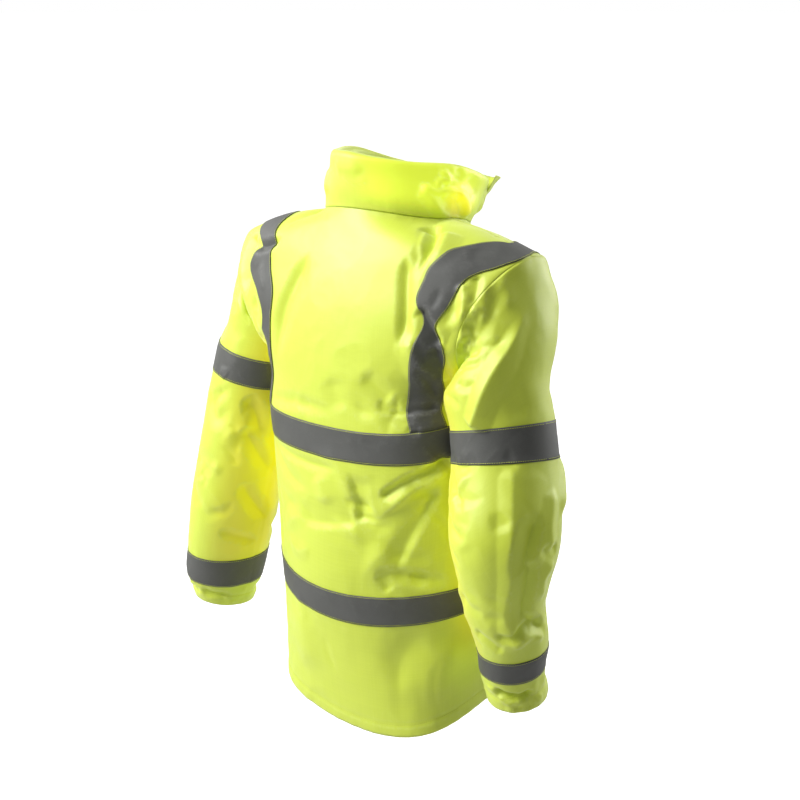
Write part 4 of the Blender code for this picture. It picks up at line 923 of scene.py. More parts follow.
for hand, seed in (("left", 41.0), ("right", 43.0)):
    panel = sleevePanel(hand)
    name = "sleeve_" + hand
    degrees = panel["columns"]
    lines = [(panelLine(panel, line), *shape) for line, *shape in creases[name] + smallCreases[name]]
    creased(panel, lines)
    loosened(panel, seed, "sleeve")
    panel["height"] += endSeam(panel, False, seed) + turnUp(panel, True, seed)
    for low, high in sleeveBands.values():
        panel["height"] += tapeEdges(panel, low, high, seed + low)
    around = reachAlong(panel["grid"], 0)
    fromSeam = np.abs(around - around[np.abs(degrees - 180).argmin()])
    panel["height"] += seamHeight(fromSeam, reachAlong(panel["grid"], 1), seed + 2)
    settle(panel)
    level = armholeLevel(degrees)
    backColumn, front, frontColumn = (0, "frontLeft", -1) if hand == "left" else (-1, "frontRight", 0)
    seam = np.where((degrees <= 180)[:, None], sideEdge("back", backColumn, level),
                    sideEdge(front, frontColumn, level))
    # the cloth stands out over the seam, on the sleeve and on the body alike
    across = np.minimum(degrees, 360 - degrees)[:, None]
    lift = panel["normals"][:, 3] * loose["armholeFull"]
    for ramp in loose["armholeRamps"]:
        lift = lift * smooth(*ramp, across)
    sewTo(panel, panel["final"][:, 0], seam + lift, 1)
    panels[name] = panel
    for key, column, half in (("back", backColumn, degrees <= 180), (front, frontColumn, degrees >= 180)):
        order = np.argsort(level[half])
        edge = alongLine(panels[key]["rows"], level[half][order], lift[half][order], left=0)
        sewTo(panels[key], np.zeros_like(edge), edge, 0, column < 0)

panel = collarPanel()
panels["collar"] = panel
creased(panel, [(panelLine(panel, line), *shape) for line, *shape in creases["collar"]])
loosened(panel, 51.0, "collar")
panel["height"] += endSeam(panel, False, 53.0)
settle(panel)
degrees = panel["columns"]
shares = neckShares(degrees)
neckFront = np.where((shares > 0)[:, None], topEdge("frontLeft", shares), topEdge("frontRight", shares))
neckLine = np.where((np.abs(degrees) <= 90)[:, None], topEdge("back", shares), neckFront)
sewTo(panel, panel["final"][:, 0], neckLine, 1)
print("sleeves and collar creased")


def addMesh(name, points, faces, material, body="jacket"):
    mesh = bpy.data.meshes.new(name)
    mesh.from_pydata([tuple(p) for p in points], [], faces)
    mesh.materials.append(material)
    item = bpy.data.objects.new(name, mesh)
    bpy.context.scene.collection.objects.link(item)
    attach(item, body)
    return item


def addSheet(name, grid, material, thickness, closed=False, outward=False, marks=None):
    columns, rows = grid.shape[:2]
    number = ringed(np.arange(columns * rows).reshape(columns, rows), closed)
    corners = np.stack(cellCorners(number), -1).reshape(-1, 4)
    item = addMesh(name, grid.reshape(-1, 3), corners.tolist(), material)
    mesh = item.data
    wide, long = (reachAlong(ringed(grid, closed), axis) for axis in (0, 1))
    cut = np.stack([wide - wide[len(wide) // 2], long], -1)
    loops = np.stack(cellCorners(cut), axis=2)
    mesh.uv_layers.new(name="cut").data.foreach_set("uv", loops.reshape(-1))
    for label, values in (marks or {}).items():
        mesh.attributes.new(label, "FLOAT", "POINT").data.foreach_set("value", values.reshape(-1))
    mesh.shade_smooth()
    wall = item.modifiers.new("wall", "SOLIDIFY")
    wall.thickness = thickness
    wall.offset = 1 if outward else -1
    return item


# a piece of cloth stands for this node, which is hidden
def statePiece(node):
    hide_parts(node)


clothMarks = {
    # painted bounce light: the cloth's colour turns deeper yellow where two bright faces of cloth look at
    # each other. The collar's fold: its degrees and row, the degrees that count as one row, and how far it
    # reaches
    "collarFold": (-100, 1.0, 14, (22, 6)),
    "sleeveInside": (165, (75, 20)),
    "sleeveLevels": ((1.0, 3.0), (9.0, 7.5)),
    "sides": (0.62, 0.92),
    "sideLevels": ((0.6, 2.0), (9.2, 7.8)),
    # strengths of the painted bounce light on the back and sleeves, and on the fronts
    "paintedBounce": 0.9,
    "frontPaintedBounce": 0.5,
    # painted glow, for light that passes through the cloth: the stand collar from its open top, and a share
    # of every hollow
    "collarGlow": ((10, -35), (-150, -95)),
    "collarGlowRows": ((-0.2, 1.2), (4.6, 3.6)),
    "backGlow": 0.35,
    "otherGlow": 0.12,
    # rubbed where the cloth stands out in a crest, and dulled within this of an edge
    "crest": 0.0012,
    "edge": 0.006,
}


def between(ramps, values):
    return smooth(*ramps[0], values) * smooth(*ramps[1], values)


# share of painted bounce light over a panel's places
def paintedBounceShare(key, u, v):
    if key == "collar":
        middle, row, perRow, reach = clothMarks["collarFold"]
        share = smooth(*reach, np.hypot(u - middle, (v - row) * perRow))
    elif key.startswith("sleeve"):
        middle, reach = clothMarks["sleeveInside"]
        share = smooth(*reach, np.abs(u - middle)) * between(clothMarks["sleeveLevels"], v)
    else:
        share = smooth(*clothMarks["sides"], np.abs(u)) * between(clothMarks["sideLevels"], v)
    return share * clothMarks["frontPaintedBounce" if key.startswith("front") else "paintedBounce"]


# share of painted glow over a panel's places
def paintedGlowShare(key, u, v):
    if key == "collar":
        return between(clothMarks["collarGlow"], u) * between(clothMarks["collarGlowRows"], v)
    return paintedBounceShare(key, u, v) * clothMarks["backGlow" if key == "back" else "otherGlow"]


# marks over a panel: rubbed crests and dulled edges, then painted bounce light and painted glow
def handling(key):
    panel = panels[key]
    grid, height = panel["grid"], panel["height"]
    bend = np.zeros_like(height)
    bend[1:-1, 1:-1] = (height[1:-1, 1:-1] * 4 - height[:-2, 1:-1] - height[2:, 1:-1]
                        - height[1:-1, :-2] - height[1:-1, 2:])
    edge = np.minimum(reachAlong(grid, 1), reachAlong(grid, 1, True))
    if not panel.get("closed"):
        edge = np.minimum(edge, np.minimum(reachAlong(grid, 0), reachAlong(grid, 0, True)))
    place = np.meshgrid(panel["columns"], panel["rows"], indexing="ij")
    return {"crest": np.clip(bend / clothMarks["crest"], 0, 1), "seam": np.exp(-edge / clothMarks["edge"]),
            "paintedBounce": paintedBounceShare(key, *place), "through": paintedGlowShare(key, *place)}


def addNode(tree, kind, inputs=None, **settings):
    node = tree.nodes.new(kind)
    for key, value in settings.items():
        setattr(node, key, value)
    for key, value in (inputs or {}).items():
        if isinstance(value, bpy.types.NodeSocket):
            tree.links.new(value, node.inputs[key])
        else:
            node.inputs[key].default_value = value
    return node


def mathNode(tree, operation, a, b=0.0, c=0.0):
    return addNode(tree, "ShaderNodeMath", {0: a, 1: b, 2: c}, operation=operation).outputs[0]


def mixColour(tree, share, a, b):
    return addNode(tree, "ShaderNodeMix", {0: share, 6: a, 7: b}, data_type="RGBA").outputs[2]


def ranged(tree, value, low, high, least=0.0, most=1.0):
    return addNode(tree, "ShaderNodeMapRange", {0: value, 1: low, 2: high, 3: least, 4: most}).outputs[0]


def marked(tree, label):
    return addNode(tree, "ShaderNodeAttribute", attribute_name=label).outputs["Fac"]


# a texture that sits on the object itself
def onObject(tree, kind, inputs=None, **settings):
    place = addNode(tree, "ShaderNodeTexCoord").outputs["Object"]
    return addNode(tree, "ShaderNodeTex" + kind, {"Vector": place, **(inputs or {})}, **settings)


def bump(tree, height, distance, strength=1.0, over=None):
    inputs = {"Height": height, "Distance": distance, "Strength": strength}
    if over:
        inputs["Normal"] = over
    return addNode(tree, "ShaderNodeBump", inputs).outputs[0]


def feed(tree, shader, sockets):
    for label, value in sockets.items():
        tree.links.new(value, shader.inputs[label])


def newGroup(name, inputs, outputs):
    group = bpy.data.node_groups.new(name, "ShaderNodeTree")
    for label, value in inputs:
        socket = group.interface.new_socket(label, in_out="INPUT", socket_type="NodeSocketFloat")
        socket.default_value = value
    for label in outputs:
        group.interface.new_socket(label, in_out="OUTPUT", socket_type="NodeSocketFloat")
    return group, addNode(group, "NodeGroupInput"), addNode(group, "NodeGroupOutput")


def placeGroup(tree, group, inputs=None):
    node = tree.nodes.new("ShaderNodeGroup")
    node.node_tree = group
    for key, value in (inputs or {}).items():
        node.inputs[key].default_value = value
    return node


# plain weave, in the cloth's own cut sizes: height of the threads, and their uneven tone
def weaveGroup():
    group, given, put = newGroup("wovenThreads", [("Threads per metre", 1200.0)], ["Height", "Tone"])
    cut = addNode(group, "ShaderNodeUVMap", uv_map="cut")
    split = addNode(group, "ShaderNodeSeparateXYZ", {0: cut.outputs[0]})
    waves, numbers = [], []
    for axis in (0, 1):
        thread = mathNode(group, "MULTIPLY", split.outputs[axis], given.outputs[0])
        waves.append(mathNode(group, "SINE", mathNode(group, "MULTIPLY", thread, pi)))
        numbers.append(mathNode(group, "FLOOR", thread))
    height = mathNode(group, "MULTIPLY", waves[0], waves[1])
    group.links.new(mathNode(group, "MULTIPLY_ADD", height, 0.5, 0.5), put.inputs["Height"])
    tones = [addNode(group, "ShaderNodeTexWhiteNoise", {"W": number}, noise_dimensions="1D").outputs[0]
             for number in numbers]
    group.links.new(mathNode(group, "MULTIPLY", mathNode(group, "ADD", tones[0], tones[1]), 0.5),
                    put.inputs["Tone"])
    return group


# slow patches of tone over the object
def mottleGroup():
    group, given, put = newGroup("slowMottle", [("Scale", 7.0), ("Detail", 3.0)], ["Value"])
    patches = onObject(group, "Noise", {label: given.outputs[label] for label in ("Scale", "Detail")})
    group.links.new(patches.outputs[0], put.inputs["Value"])
    return group


# broken-up masks of what is rubbed on crests and dulled by seams
def handlingGroup():
    group, given, put = newGroup("handling", [("Breakup", 160.0)], ["Rubbed", "Dulled"])
    flecks = onObject(group, "Noise", {"Detail": 4.0, "Scale": given.outputs[0]})
    broken = ranged(group, flecks.outputs[0], 0.35, 0.65)
    for label, output in (("crest", "Rubbed"), ("seam", "Dulled")):
        group.links.new(mathNode(group, "MULTIPLY", marked(group, label), broken), put.inputs[output])
    return group


weave, mottle, handled = weaveGroup(), mottleGroup(), handlingGroup()


def newMaterial(name, values):
    material = bpy.data.materials.new(name)
    material.use_nodes = True
    tree = material.node_tree
    shader = tree.nodes["Principled BSDF"]
    for label, value in values.items():
        shader.inputs[label].default_value = value
    return material, tree, shader


# values of the noise at which a material's tone and gloss are at their two ends
toneRange = (0.45, 0.95)
glossRange = (0.3, 0.7)

clothLook = {
    "colour": (0.70, 0.83, 0.045, 1),
    "shaded": (0.65, 0.78, 0.034, 1),
    "paintedBounce": (0.93, 0.85, 0.025, 1),     # painted bounce light, where the cloth lights itself
    "rubbed": (0.78, 0.90, 0.20, 1),
    "dulled": (0.52, 0.60, 0.06, 1),
    "rubbedShare": 0.45,
    "dulledShare": 0.14,
    "threads": 1500.0,
    "patches": {"Scale": 6.0, "Detail": 3.0},
    "breakup": 170.0,
    "threadTone": 0.45,           # share of the threads' own tone beside the slow patches
    "roughness": (0.48, 0.60),
    "crinkleScale": 210.0,
    # height and strength of the bump
    "crinkle": (0.00022, 0.6),
    "weave": (0.00008, 0.7),
    # the emission is a painted glow that stands for light that passes through the cloth
    "shader": {"Specular IOR Level": 1.0, "Sheen Weight": 0.30, "Sheen Roughness": 0.4,
               "Emission Strength": 0.7},
}


def hiVisCloth():
    look = clothLook
    material, tree, shader = newMaterial("hi_vis_oxford", look["shader"])
    threads = placeGroup(tree, weave, {"Threads per metre": look["threads"]})
    patches = placeGroup(tree, mottle, look["patches"]).outputs[0]
    marks = placeGroup(tree, handled, {"Breakup": look["breakup"]})
    tone = mathNode(tree, "MULTIPLY_ADD", threads.outputs["Tone"], look["threadTone"], patches)
    colour = mixColour(tree, ranged(tree, tone, *toneRange), look["shaded"], look["colour"])
    # painted bounce light: a deeper yellow mixed into the colour where cloth faces cloth
    colour = mixColour(tree, marked(tree, "paintedBounce"), colour, look["paintedBounce"])
    rubbed = mathNode(tree, "MULTIPLY", marks.outputs["Rubbed"], look["rubbedShare"])
    colour = mixColour(tree, rubbed, colour, look["rubbed"])
    dulled = mathNode(tree, "MULTIPLY", marks.outputs["Dulled"], look["dulledShare"])
    crinkle = onObject(tree, "Noise", {"Scale": look["crinkleScale"], "Detail": 3.0})
    coarse = bump(tree, crinkle.outputs[0], *look["crinkle"])
    feed(tree, shader, {
        "Base Color": mixColour(tree, dulled, colour, look["dulled"]),
        "Roughness": ranged(tree, patches, *glossRange, *look["roughness"]),
        "Normal": bump(tree, threads.outputs["Height"], *look["weave"], over=coarse),
        # painted glow: emission in the cloth's own colour, as strong as the through mark
        "Emission Color": mixColour(tree, marked(tree, "through"), (0, 0, 0, 1), colour),
    })
    return material


tapeLook = {
    "colour": (0.112, 0.114, 0.106, 1),
    "dark": (0.080, 0.082, 0.074, 1),
    "scuffed": (0.26, 0.26, 0.25, 1),
    "edge": (0.07, 0.075, 0.05, 1),
    "scuffedShare": 0.35,
    "beads": 1400.0,
    "beadTone": 0.35,
    "threads": 2100.0,
    "patches": {"Scale": 14.0, "Detail": 4.0},
    "breakup": 220.0,
    "roughness": (0.50, 0.64),
    "grain": (0.00006, 0.35),
    "weave": (0.00004, 0.5),
    "shader": {"Metallic": 0.05},
}


def reflectiveTape():
    look = tapeLook
    material, tree, shader = newMaterial("reflective_bead_tape", look["shader"])
    threads = placeGroup(tree, weave, {"Threads per metre": look["threads"]})
    patches = placeGroup(tree, mottle, look["patches"]).outputs[0]
    marks = placeGroup(tree, handled, {"Breakup": look["breakup"]})
    beads = onObject(tree, "Voronoi", {"Scale": look["beads"]}).outputs["Distance"]
    tone = mathNode(tree, "MULTIPLY_ADD", beads, look["beadTone"], patches)
    colour = mixColour(tree, ranged(tree, tone, *toneRange), look["dark"], look["colour"])
    scuffed = mathNode(tree, "MULTIPLY", marks.outputs["Rubbed"], look["scuffedShare"])
    colour = mixColour(tree, scuffed, colour, look["scuffed"])
    grain = bump(tree, beads, *look["grain"])
    feed(tree, shader, {
        "Base Color": mixColour(tree, marks.outputs["Dulled"], colour, look["edge"]),
        "Roughness": ranged(tree, patches, *glossRange, *look["roughness"]),
        "Normal": bump(tree, threads.outputs["Height"], *look["weave"], over=grain),
    })
    return material


# the small parts: pattern, its scale and detail, two colours, the bump's height, the shader's constants
plainLooks = {
    "sewing_thread": ("plies", 900.0, 2.0, (0.50, 0.56, 0.05, 1), (0.72, 0.80, 0.10, 1), 0.0001,
                      {"Roughness": 0.6}),
    "zip_webbing": ("threads", 1800.0, 0, (0.008, 0.008, 0.009, 1), (0.024, 0.024, 0.026, 1), 0.00015,
                    {"Roughness": 0.75}),
    "moulded_teeth": ("patches", 400.0, 2.0, (0.66, 0.66, 0.62, 1), (0.86, 0.86, 0.83, 1), 0,
                      {"Roughness": 0.35}),
    "cast_zip_metal": ("patches", 500.0, 4.0, (0.36, 0.36, 0.35, 1), (0.62, 0.62, 0.60, 1), 0.00005,
                       {"Metallic": 1.0}),
}
metalRoughness = (0.22, 0.42)


# tone and height
def patternOf(tree, pattern, scale, detail):
    if pattern == "threads":
        threads = placeGroup(tree, weave, {"Threads per metre": scale})
        return threads.outputs["Tone"], threads.outputs["Height"]
    if pattern == "plies":
        plies = onObject(tree, "Wave", {"Scale": scale, "Distortion": detail}, bands_direction="DIAGONAL")
        return plies.outputs["Fac"], plies.outputs["Fac"]
    patches = placeGroup(tree, mottle, {"Scale": scale, "Detail": detail})
    return patches.outputs[0], patches.outputs[0]


def plainMaterial(name):
    pattern, scale, detail, dark, light, height, values = plainLooks[name]
    material, tree, shader = newMaterial(name, values)
    tone, relief = patternOf(tree, pattern, scale, detail)
    feed(tree, shader, {"Base Color": mixColour(tree, tone, dark, light)})
    if height:
        feed(tree, shader, {"Normal": bump(tree, relief, height)})
    if "Metallic" in values:
        feed(tree, shader, {"Roughness": ranged(tree, tone, *glossRange, *metalRoughness)})
    return material


cloth, silver = hiVisCloth(), reflectiveTape()
thread, webbing, teeth, metal = (plainMaterial(name) for name in plainLooks)
print("materials made")


clothPieces = {
    "back_cloth": ("back", "back_panel"),
    "front_left_cloth": ("frontLeft", "front_left"),
    "front_right_cloth": ("frontRight", "front_right"),
    "sleeve_left_cloth": ("sleeve_left", "sleeve_left"),
    "sleeve_right_cloth": ("sleeve_right", "sleeve_right"),
    "collar_cloth": ("collar", "collar"),
}

for name, (key, node) in clothPieces.items():
    panel = panels[key]
    closed = panel.get("closed", False)
    item = addSheet(name, panel["final"], cloth, loose["thickness"], closed, marks=handling(key))
    statePiece(node)
print("cloth panels made")


tape = {
    "lift": 0.0003,
    "thickness": 0.0007,
    "stitchIn": 0.0022,           # stitching stands this far in from the edges
    "seamBridge": 0.006,          # the tape runs straight over a seam for this far each side
    "crest": 0.0004,
    "edge": (0.0016, 0.0004),
    "braceLift": 0.0005,          # a brace lies this much further out, over the band it ends on
    "braceColumns": 17,
    "braceRows": (6.0, 11.93),
    "trim": 0.4,                  # rows nearer than this to a tape's edge are left out of it
}

# brace edges: section, inner edge, outer edge, as shares of the half width
braceEdges = {
    "left": [(6, .46, .67), (7, .48, .70), (8, .49, .72), (8.9, .48, .60), (9.5, .461, .665),
             (10.15, .507, .76), (10.5, .515, .68), (10.75, .50, .66), (11.24, .56, .80),
             (12, .74, .985)],
    "right": [(6, .455, .675), (6.8, .457, .667), (7.85, .556, .800), (8.8, .635, .885),
              (9.3, .675, .785), (9.85, .585, .825), (10.3, .590, .838), (10.6, .592, .845),
              (10.85, .620, .890), (11.1, .655, .950), (11.4, .750, .985), (12, .88, .992)],
    "front": [(6, .44, .64), (8, .46, .67), (9.5, .55, .78), (11, .68, .91)],
}

threadRuns = []


def rowsOf(panel, low, high):
    edges = numberOf([low, high], panel["rows"])
    inside = np.arange(len(panel["rows"]))
    inside = inside[(inside > edges[0] + tape["trim"]) & (inside < edges[1] - tape["trim"])]
    return np.concatenate([[edges[0]], inside, [edges[1]]])


def onPanel(panel, columns, rows):
    c, r = np.broadcast_arrays(np.asarray(columns, float), np.asarray(rows, float))
    return sampled(ringed(panel["final"], panel.get("closed")), c, r)


def addTape(name, node, grid, closed=False):
    normals = gridNormals(grid, closed)
    lifted = grid + normals * tape["lift"]
    edge = np.minimum(reachAlong(lifted, 1), reachAlong(lifted, 1, True))
    smoothed = lifted.copy()
    smoothed[1:-1, 1:-1] = (lifted[:-2, 1:-1] + lifted[2:, 1:-1] + lifted[1:-1, :-2] + lifted[1:-1, 2:]) / 4
    bend = np.sum((lifted - smoothed) * normals, axis=-1)
    marks = {"crest": np.clip(bend / tape["crest"], 0, 1), "seam": smooth(*tape["edge"], edge)}
    item = addSheet(name, lifted, silver, tape["thickness"], closed, outward=True, marks=marks)
    statePiece(node)
    return lifted + normals * tape["thickness"], normals


def stitchRow(points, normals, closed=False):
    threadRuns.append((ringed(points, closed), ringed(normals, closed)))


# lines of stitching along both long edges of a tape
def stitchTape(top, normals, closed=False):
    along = reachAlong(top, 1)[top.shape[0] // 2]
    columns = np.arange(top.shape[0])
    for distance in (tape["stitchIn"], along[-1] - tape["stitchIn"]):
        row = np.full(len(columns), np.interp(distance, along, np.arange(top.shape[1])))
        stitchRow(sampled(top, columns, row), sampled(normals, columns, row), closed)


# a band round the body runs over the left front, the back and the right front
def bodyBand(name, node, low, high):
    skip = round(tape["seamBridge"] / body["spacing"])
    strips = []
    for key, first, last in (("frontLeft", 0, -skip), ("back", skip, -skip), ("frontRight", skip, None)):
        columns = np.arange(len(panels[key]["columns"]))[first:last]
        strips.append(onPanel(panels[key], columns[:, None], rowsOf(panels[key], low, high)[None]))
    stitchTape(*addTape(name, node, np.concatenate(strips)))


def brace(hand):
    sign = 1 if hand == "left" else -1
    shares = np.linspace(0, 1, tape["braceColumns"])[:, None]
    runs = []
    for panel, rows in ((panels["back"], braceEdges[hand]),
                        (panels["frontLeft" if sign > 0 else "frontRight"],
                         braceEdges["front"] + [braceEdges[hand][-1]])):
        numbers = rowsOf(panel, *tape["braceRows"])
        levels = np.interp(numbers, np.arange(len(panel["rows"])), panel["rows"])
        knots = np.array([r[0] for r in rows], float)
        edges = through(np.repeat(np.array(rows)[:, None, 1:], len(levels), axis=1), knots, levels)
        inner, outer = edges[:, 0], edges[:, 1]
        u = sign * (inner + (outer - inner) * shares)
        runs.append(onPanel(panel, numberOf(u, panel["columns"]), numbers[None] + 0 * u))
    grid = np.concatenate([runs[0], runs[1][:, ::-1]], axis=1)
    if sign < 0:
        grid = grid[::-1]
    if np.mean(gridNormals(grid)[:, 5, 1]) < 0:    # the back's part has to face back
        grid = grid[::-1]
    grid = grid + gridNormals(grid) * tape["braceLift"]
    top, normals = addTape(f"brace_{hand}_tape", f"brace_{hand}", grid)
    for edge, outer in ((1, 0), (-2, -1)):
        stitchRow(top[edge] * 0.5 + top[outer] * 0.5, normals[edge])


for part, (low, high) in bodyBands.items():
    bodyBand(part + "_tape", part + "_band", low, high)
for hand in ("left", "right"):
    brace(hand)
    panel = panels["sleeve_" + hand]
    for part, (low, high) in sleeveBands.items():
        grid = onPanel(panel, np.arange(len(panel["columns"]))[:, None], rowsOf(panel, low, high)[None])
        top, normals = addTape(f"sleeve_tape_{hand}_{part}", f"sleeve_band_{hand}_{part}", grid,
                               True)
        stitchTape(top, normals, True)
print("tapes made")


stitch = {
    "pitch": 0.0034,
    "length": 0.0026,
    "width": 0.0007,
    "height": 0.0004,
    "hemIn": 0.0215,
    "hemSearch": 30,              # rows from the hem
    "cuffLevel": 9.55,
}


def finalNormals(panel):
    return gridNormals(panel["final"], panel.get("closed", False))


for key in ("back", "frontLeft", "frontRight", "sleeve_left", "sleeve_right"):
    panel = panels[key]
    columns = np.arange(len(panel["columns"]), dtype=float)
    if panel.get("closed"):
        rows = np.full(len(columns), numberOf(stitch["cuffLevel"], panel["rows"]))
    else:
        count = stitch["hemSearch"]
        hem = reachAlong(panel["final"], 1)[:, :count]
        rows = np.array([np.interp(stitch["hemIn"], line, np.arange(count)) for line in hem])
    stitchRow(sampled(panel["final"], columns, rows), sampled(finalNormals(panel), columns, rows),
              panel.get("closed", False))


# one joined mesh of short pointed stitches along every run
def sewStitches():
    shape = np.array([(-.5, 0, .1), (-.3, -.5, .5), (-.3, .5, .5), (.3, -.5, .5), (.3, .5, .5), (.5, 0, .1),
                      (0, -.5, -.2), (0, .5, -.2)])
    sides = [(0, 1, 2), (1, 3, 4, 2), (3, 5, 4), (0, 6, 1), (1, 6, 3), (3, 6, 5),
             (0, 2, 7), (2, 4, 7), (4, 5, 7)]
    places, faces = [], []
    for points, normals in threadRuns:
        length = lengthsAlong(points)
        middles = np.arange(stitch["pitch"], length[-1] - stitch["pitch"], stitch["pitch"])
        at = [alongLine(middles + step, length, points)
              for step in (-stitch["length"] / 2, 0, stitch["length"] / 2)]
        out = unit(alongLine(middles, length, normals))
        along = unit(at[2] - at[0])
        across = unit(np.cross(out, along))
        for x, y, z in shape:
            places.append(at[1] + along * x * stitch["length"] + across * y * stitch["width"]
                          + out * z * stitch["height"])
        start = sum(len(p) for p in places[:-len(shape)])
        count = len(middles)
        faces += [[start + corner * count + k for corner in side] for k in range(count) for side in sides]
    item = addMesh("stitching", np.concatenate(places), faces, thread)
    return item


sewStitches()
print("stitched")


zipSizes = {
    "tapeHalf": 0.0135,
    "tapeThickness": 0.0010,
    "tapeColumns": 9,
    "step": 0.005,
    "sink": 0.0020,
    "top": 0.87,                  # share of the collar's height that the tape reaches, and the teeth
    "teethTop": 0.85,
    "toothPitch": 0.0026,
    "tooth": (0.0030, 0.0015, 0.0024),     # across, along, thick
    "toothAside": 0.0009,
    "toothSink": 0.0006,
    "toothTaper": 0.35,
    "toothRound": 0.0003,
}

flap = {
    "half": 0.034,
    "columns": 17,
    "thickness": 0.0016,
    "tip": 0.15,                  # past the collar's top, as a share of its height
    "lean": 1.5,                  # forward, against straight out, setting in between these sections
    "leanFrom": (9.0, 12.0),
    "drop": 0.75,                 # its free edge comes back by this share
    "bow": 0.25,                  # share of the half width beyond which it comes down to the front
    "waves": [(0.06, 61.0, 0.0012), (0.02, 67.0, 0.0004)],     # size, seed, height
    "edgeFull": 0.0004,           # its doubled edge stands out, falling away between these
    "edgeRamp": (0.0045, 0.003),
    "rubbedEdge": 0.002,
    "tipRows": (0.04, 4),         # first place past the collar's top, and number of rows
    # place in body sections, the collar's height as one more; how far the flap stands off
    "stand": [(0, .0019), (9.0, .0019), (10.5, .0045), (11.4, .0120), (12.0, .0180), (12.6, .0180),
              (13.0, .0210), (13.15, .0260)],
}


# point of the outer face x metres left of the middle; place in sections, then the collar
def frontPoint(x, place):
    if place <= topRow:
        return bodyPoint(x * sharesPerMetre(place), np.full_like(x, place), -1)
    share = place - topRow
    degrees = 180 - x / collarDegree(min(share, 1.0))
    degrees = np.where(degrees > 180, degrees - 360, degrees)
    bulge = np.interp(share, *zip(*collar["profile"][:4]))
    return collarPoint(degrees, np.full_like(x, share), np.full_like(x, bulge))


def frontStrip(across, places):
    return np.stack([frontPoint(np.asarray(across, float), place) for place in places], axis=1)


def evenPlaces(step, last, roughCount=400):
    rough = np.linspace(0, last, roughCount)
    line = np.array([frontPoint(np.zeros(1), p)[0] for p in rough])
    length = lengthsAlong(line)
    return np.interp(np.linspace(0, length[-1], round(length[-1] / step)), length, rough)


def sewZip():
    half = zipSizes["tapeHalf"]
    places = evenPlaces(zipSizes["step"], topRow + zipSizes["top"])
    grid = frontStrip(np.linspace(-half, half, zipSizes["tapeColumns"]), places)
    grid = grid - gridNormals(grid) * zipSizes["sink"]
    item = addSheet("zip_webbing", grid, webbing, zipSizes["tapeThickness"])
    statePiece("zip_tape")

    places = evenPlaces(zipSizes["toothPitch"], topRow + zipSizes["teethTop"])
    line = frontStrip([-0.001, 0.001], places)
    outward = gridNormals(line)[0]
    middle = line.mean(axis=0)
    along = unit(np.gradient(middle, axis=0))
    wide, tall, thick = zipSizes["tooth"]
    corners = [(x, y, z) for x in (-.5, .5) for y in (-.5, .5) for z in (-.5, .5)]
    sides = [(0, 1, 3, 2), (4, 6, 7, 5), (0, 4, 5, 1), (2, 3, 7, 6), (0, 2, 6, 4), (1, 5, 7, 3)]
    points, faces = [], []
    for k, (place, up, out) in enumerate(zip(middle, along, outward)):
        hand = 1 if k % 2 else -1
        across = np.cross(up, out)
        start = len(points)
        for x, y, z in corners:
            narrow = 1 - zipSizes["toothTaper"] * (x * hand < 0)
            points.append(place + across * (hand * zipSizes["toothAside"] + x * wide)
                          + up * y * tall * narrow + out * (z * thick - zipSizes["toothSink"]))
        faces += [[start + c for c in side] for side in sides]
    item = addMesh("zip_teeth_row", points, faces, teeth)
    bevel = item.modifiers.new("rounded", "BEVEL")
    bevel.width = zipSizes["toothRound"]
    bevel.segments = 2
    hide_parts("zip_chain")


def sewFlap():
    half, bow = flap["half"], flap["half"] * flap["bow"]
    places = evenPlaces(zipSizes["step"], topRow + 1)
    first, count = flap["tipRows"]
    places = np.append(places, topRow + 1 + np.linspace(first, flap["tip"], count))
    across = np.linspace(-half, half, flap["columns"])
    grid = frontStrip(across, places)
    lift = np.interp(places, *zip(*flap["stand"]))
    least = flap["stand"][0][1]
    share = (smooth(half, bow, across) - flap["drop"] * smooth(-bow, -half, across))[:, None]
    forward = np.array([0, -flap["lean"], 0]) * smooth(*flap["leanFrom"], places)[:, None]
    normals = gridNormals(grid)
    grid = grid + normals * least + unit(normals + forward) * ((lift - least) * share)[..., None]
    wave = sum(noiseOver(grid, size, seed) * height for size, seed, height in flap["waves"])
    edge = np.minimum(reachAlong(grid, 0), reachAlong(grid, 0, True))
    fuller = flap["edgeFull"] * smooth(*flap["edgeRamp"], edge)
    grid = grid + gridNormals(grid) * (np.abs(wave) + fuller)[..., None]
    # the flap gets no painted bounce light
    marks = {"crest": smooth(flap["rubbedEdge"], 0.0, edge), "seam": 0 * edge, "paintedBounce": 0 * edge}
    item = addSheet("storm_flap_cloth", grid, cloth, flap["thickness"], outward=True, marks=marks)
    statePiece("storm_flap")


sewZip()
sewFlap()
for name in ("zip_slider", "zip_pull"):
    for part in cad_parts[name].material_slots:
        part.material = metal
print("zip and flap made")


studio = {
    "floorHeight": -1.48,
    "floorRadius": 40.0,
    "floorSides": 48,
    "floorPatches": {"Scale": 0.8, "Detail": 2.0},
    "floorRoughness": 0.9,
    "ambient": (0.23, 0.62),      # away from this direction, and towards it
    "beyond": (0.66, -0.70, 0.10),
    "turnsOver": (-0.3, 0.6),     # the cosines between which one goes over into the other
    "floorColour": (0.50, 0.53),
    "glow": 0.90,                 # so that the pale floor shows as white
    # place, size, watts
    "lights": {
        "key": ((2.1, 2.4, 1.75), (1.7, 1.7), 170),
        "side": ((3.2, -0.2, 0.4), (1.7, 1.7), 15),
        "low": ((2.2, 2.0, -0.9), (1.7, 1.2), 6),
        "top": ((0.1, 0.9, 1.35), (0.8, 0.8), 3.5),
        "rim": ((-0.9, -2.8, 0.5), (1.4, 2.0), 52),
    },
    "aim": (0, 0, -0.25),
}


def softLight(name, place, size, watts):
    light = bpy.data.lights.new(name, "AREA")
    light.shape = "RECTANGLE"
    light.size, light.size_y = size
    light.energy = watts
    item = bpy.data.objects.new(name, light)
    item.location = place
    item.rotation_euler = (Vector(studio["aim"]) - Vector(place)).to_track_quat("-Z", "Y").to_euler()
    bpy.context.scene.collection.objects.link(item)


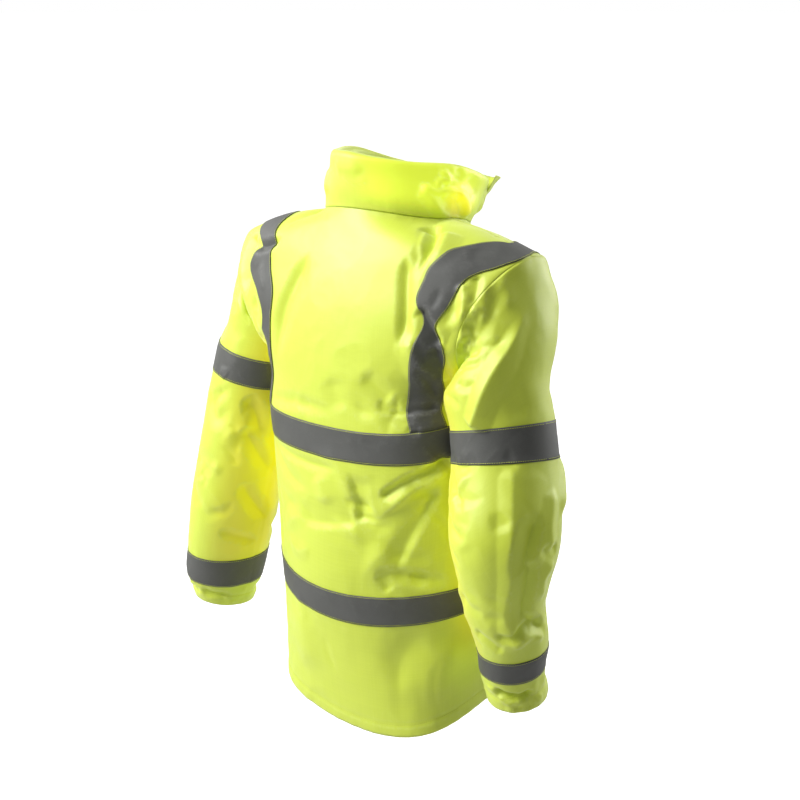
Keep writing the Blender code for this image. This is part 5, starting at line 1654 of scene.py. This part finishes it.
def paleFloor():
    material, tree, shader = newMaterial("pale_floor", {"Roughness": studio["floorRoughness"]})
    patches = placeGroup(tree, mottle, studio["floorPatches"])
    dark, light = ((tone, tone, tone, 1) for tone in studio["floorColour"])
    feed(tree, shader, {"Base Color": mixColour(tree, patches.outputs[0], dark, light)})
    path = addNode(tree, "ShaderNodeLightPath")
    seen = mathNode(tree, "MULTIPLY", path.outputs["Is Camera Ray"], studio["glow"])
    glow = addNode(tree, "ShaderNodeEmission", {"Color": (1, 1, 1, 1), "Strength": seen})
    both = addNode(tree, "ShaderNodeAddShader", {0: shader.outputs[0], 1: glow.outputs[0]})
    tree.links.new(both.outputs[0], tree.nodes["Material Output"].inputs["Surface"])
    turn = np.radians(np.linspace(0, 360, studio["floorSides"], endpoint=False))
    ring = np.stack([np.cos(turn), np.sin(turn), 0 * turn], -1) * studio["floorRadius"]
    mesh = bpy.data.meshes.new("floor")
    mesh.from_pydata([tuple(p) for p in ring], [], [list(range(len(ring)))])
    mesh.materials.append(material)
    floor = bpy.data.objects.new("floor", mesh)
    floor.location.z = studio["floorHeight"]
    bpy.context.scene.collection.objects.link(floor)
    floor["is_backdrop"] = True


def studioWorld():
    world = bpy.data.worlds.new("studio")
    world.use_nodes = True
    tree = world.node_tree
    tree.nodes.clear()
    seen = addNode(tree, "ShaderNodeBackground", {"Color": (1, 1, 1, 1), "Strength": 1.0})
    place = addNode(tree, "ShaderNodeTexCoord")
    facing = addNode(tree, "ShaderNodeVectorMath", {0: place.outputs["Generated"], 1: studio["beyond"]},
                     operation="DOT_PRODUCT").outputs["Value"]
    bright = ranged(tree, facing, *studio["turnsOver"], *studio["ambient"])
    lit = addNode(tree, "ShaderNodeBackground", {"Color": (1, 1, 1, 1), "Strength": bright})
    path = addNode(tree, "ShaderNodeLightPath")
    mix = addNode(tree, "ShaderNodeMixShader", {0: path.outputs["Is Camera Ray"], 1: lit.outputs[0],
                                                2: seen.outputs[0]})
    addNode(tree, "ShaderNodeOutputWorld", {0: mix.outputs[0]})
    bpy.context.scene.world = world


for name, light in studio["lights"].items():
    softLight(name, *light)
paleFloor()
studioWorld()
bpy.context.scene.view_settings.view_transform = "Standard"

camera = {
    "turn": 43.0,                 # degrees round from straight behind, towards the wearer's right
    "rise": 17.0,
    "distance": 2.38,
    "target": (-0.0281, 0.013, -0.3052),
    "lens": 67.77,
    "sensor": 36.0,
}


def placeCamera():
    data = bpy.data.cameras.new("camera")
    data.lens = camera["lens"]
    data.sensor_width = camera["sensor"]
    item = bpy.data.objects.new("camera", data)
    turn, rise = radians(camera["turn"]), radians(camera["rise"])
    away = Vector((-sin(turn) * cos(rise), cos(turn) * cos(rise), sin(rise)))
    item.location = Vector(camera["target"]) + away * camera["distance"]
    item.rotation_euler = (-away).to_track_quat("-Z", "Y").to_euler()
    bpy.context.scene.collection.objects.link(item)
    bpy.context.scene.camera = item


placeCamera()
low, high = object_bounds()
